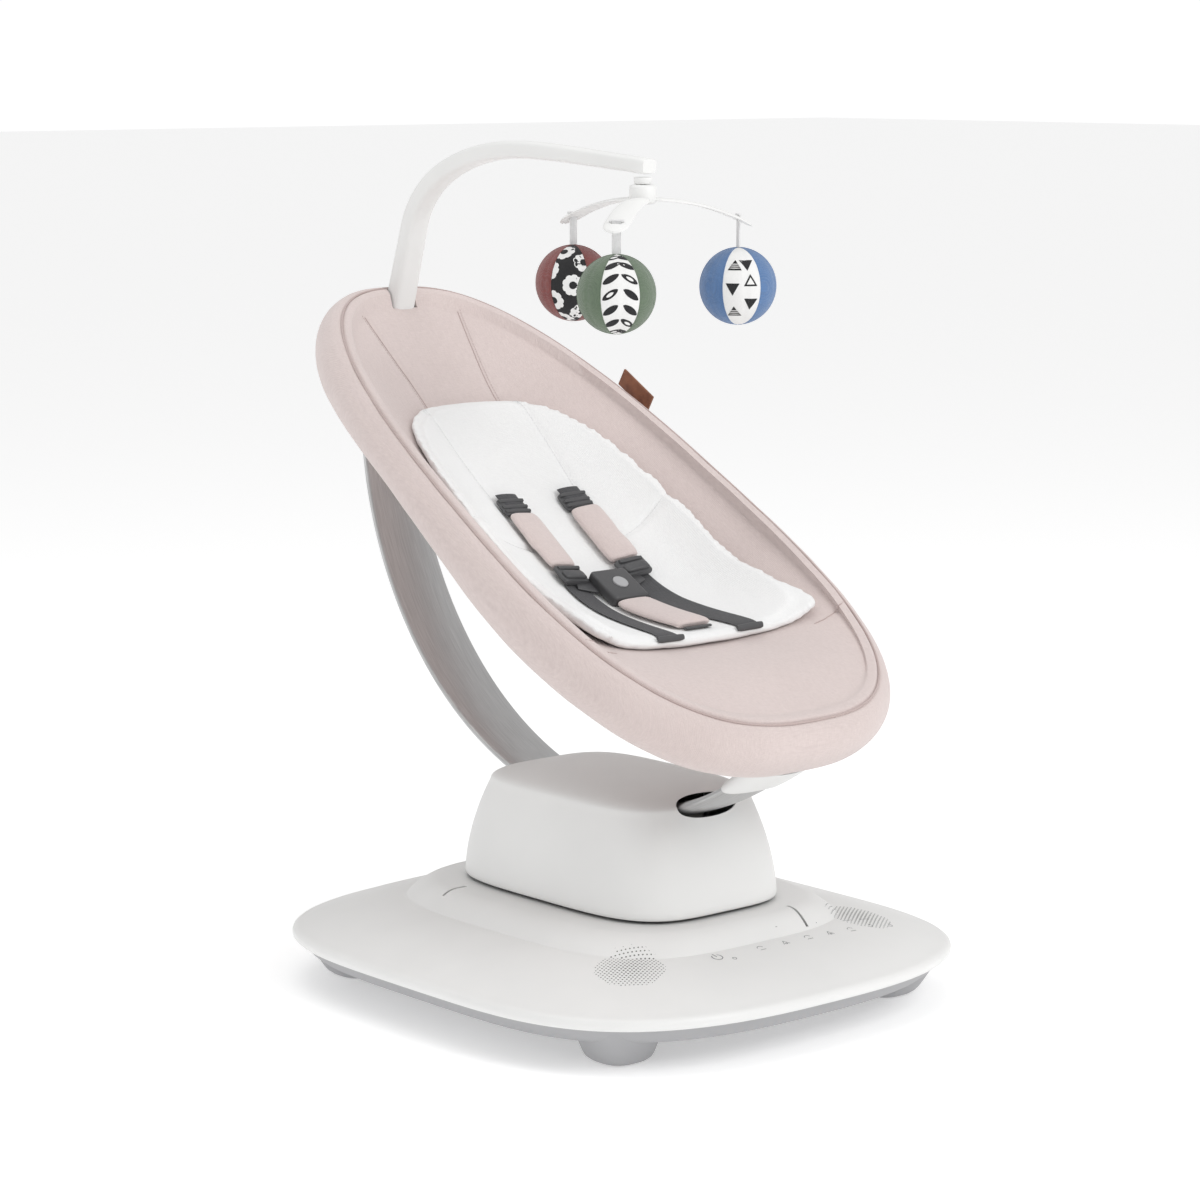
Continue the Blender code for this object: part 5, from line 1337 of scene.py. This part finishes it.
rows_of_flowers = [(GORE / 2 + dx, climb) for climb, dx in
                   ((-1.10, -0.50), (-0.80, 0.38), (-0.42, -0.48), (0.0, 0.10), (0.38, -0.62), (0.62, 0.46),
                    (1.00, -0.35))]
leaves = [(GORE * share, climb, math.radians(tilt)) for climb in (-1.15, -0.75, -0.35, 0.05, 0.45, 0.85,
                                                                  1.20)
          for share, tilt in ((0.24, 35), (0.76, 145))]
wedges = [(GORE * 0.28, -0.70, 0), (GORE * 0.74, -0.38, 180), (GORE * 0.72, 0.16, 0),
          (GORE * 0.26, 0.02, 180),
          (GORE * 0.66, 0.68, 180), (GORE * 0.30, 0.58, 0)]
for colour, _ in TOYS:
    body = f"toy_{colour}"
    low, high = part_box(f"ball_{colour}")
    middle = (low + high) / 2
    felt = woven_cloth(f"{colour}_felt", *FELTS[colour], 0.0008, 0.30, 0.0003)
    ground = black_print if colour == "red" else white_print
    start = math.radians(PRINT_FACES[colour]) - GORE / 2
    columns, rows = 96, 48
    ball_rings = [[ball_point(middle, 0, -math.pi / 2)]]
    ball_rings += [[ball_point(middle, start + 2 * math.pi * i / columns, math.pi * (j / rows - 0.5))
                    for i in range(columns)] for j in range(1, rows)]
    ball_rings.append([ball_point(middle, 0, math.pi / 2)])
    ball = skin(f"ball_{colour}_gores", ball_rings, felt, sharp=80)
    ball.data.materials.append(ground)
    for face in ball.data.polygons:
        turn = math.atan2(face.center.y - middle.y, face.center.x - middle.x)
        if ((turn - start) // GORE) % 2 == 0:
            face.material_index = 1
    hand_over(ball, body, f"{colour}_cloth", f"ball_{colour}")
    starts = [start + 2 * GORE * k for k in range(3)]
    if colour == "red":
        printed("ball_red_flowers", middle, [(flower, t, c) for t, c in rows_of_flowers], white_print, body,
                "red_cloth", starts, 0.00012)
        printed("ball_red_eyes", middle, [(disc(0.0034), t, c) for t, c in rows_of_flowers], black_print,
                body,
                "red_cloth", starts, 0.00024)
    elif colour == "green":
        printed("ball_green_leaves", middle, [((lambda part, tilt=tilt: leaf(part, tilt)), t, c)
                                              for t, c, tilt in leaves], black_print, body, "green_cloth",
                starts, 0.00012)
        printed("ball_green_veins", middle, [((lambda part, tilt=tilt: leaf(part, tilt, 0.45)), t, c)
                                             for t, c, tilt in leaves[::3]], white_print, body,
                "green_cloth", starts,
                0.00024)
    else:
        printed("ball_blue_wedges", middle,
                [((lambda part, tilt=tilt: triangle(part, 0.0072, math.radians(tilt))), t, c)
                                             for t, c, tilt in wedges], black_print, body, "blue_cloth",
                starts, 0.00012)
        printed("ball_blue_windows", middle,
                [((lambda part, tilt=tilt: triangle(part, 0.0042, math.radians(tilt))), t, c)
                 for t, c, tilt in wedges[2::4]], white_print, body, "blue_cloth", starts, 0.00024)
        bars = []
        for t, c, tilt in (wedges[0], wedges[5]):
            for step in (-0.0015, 0.0005, 0.0025):
                bars.append(((lambda part: Vector((0.0050 * math.cos(part), 0.0004 * math.sin(part)))), t,
                             c + step / BALL_RADIUS))
        printed("ball_blue_bars", middle, bars, white_print, body, "blue_cloth", starts, 0.00024)
    seams = []
    for k in range(6):
        seams.append([ball_point(middle, start + GORE * k, math.pi * (j / 40 - 0.5) * 0.985,
                                 0.0001) for j in range(41)])
    ball_seams = path_mesh(f"ball_{colour}_seams", seams)
    run_tree(ball_seams, cord_on_path, Radius=0.0003, Finish=felt)
    hand_over(ball_seams, body, f"{colour}_cloth")

tape = woven_cloth("white_tape", (0.82, 0.82, 0.82), (0.70, 0.70, 0.70), 0.0008, 0.15)


# ---- Inner works and other carried-over solids ----
# Rods, posts, spring, gears, rack and brackets inside the base and housing, the small knob at the rear and
# the button, each keeping its plain solid with a finish that suits what it is made of.

ground_steel = principled("ground_steel", 0.28, 1.0)
paint(ground_steel,
      blend_colours(ground_steel, cloudy(ground_steel, 300.0, (0.1, 6.0, 6.0)), (0.50, 0.50, 0.51),
                                  (0.64, 0.64, 0.65)))
emboss(ground_steel, cloudy(ground_steel, 500.0, (0.1, 6.0, 6.0)), 0.00003, 0.5)
drawn_tube = principled("drawn_tube", 0.40, 0.9)
paint(drawn_tube,
      blend_colours(drawn_tube, cloudy(drawn_tube, 120.0), (0.38, 0.38, 0.39), (0.47, 0.47, 0.48)))
emboss(drawn_tube, cloudy(drawn_tube, 800.0), 0.00004, 0.5)
pale_nylon = moulded_plastic("pale_nylon", (0.74, 0.73, 0.69), 0.48)
green_board = moulded_plastic("solder_mask", (0.05, 0.18, 0.10), 0.45)
FINISHES = {"grey_shell": grey_plastic, "foot_rubber": foot_rubber, "steel": ground_steel,
            "frame_tube": drawn_tube,
            "dark_plastic": dark_plastic, "nylon": pale_nylon, "circuit_board": green_board,
            "white_shell": white_plastic, "white_cloth": tape}
for row in frame["record"]["subparts"]:
    solid = frame["nodes"][row["node"]]
    if not solid.hide_render and row["material_slot"] in FINISHES:
        solid.data.materials.clear()
        solid.data.materials.append(FINISHES[row["material_slot"]])

# The lamp's lens takes the same dark grey as the painted hole shade, here as the lens's own colour.
run_tree(lamp, scatter_tree("status_lamp", 24, 0.0008), Radius=0.0017, Finish=painted_hole_shade_and_dark_lens)
hand_over(lamp, "housing", "dark_plastic")
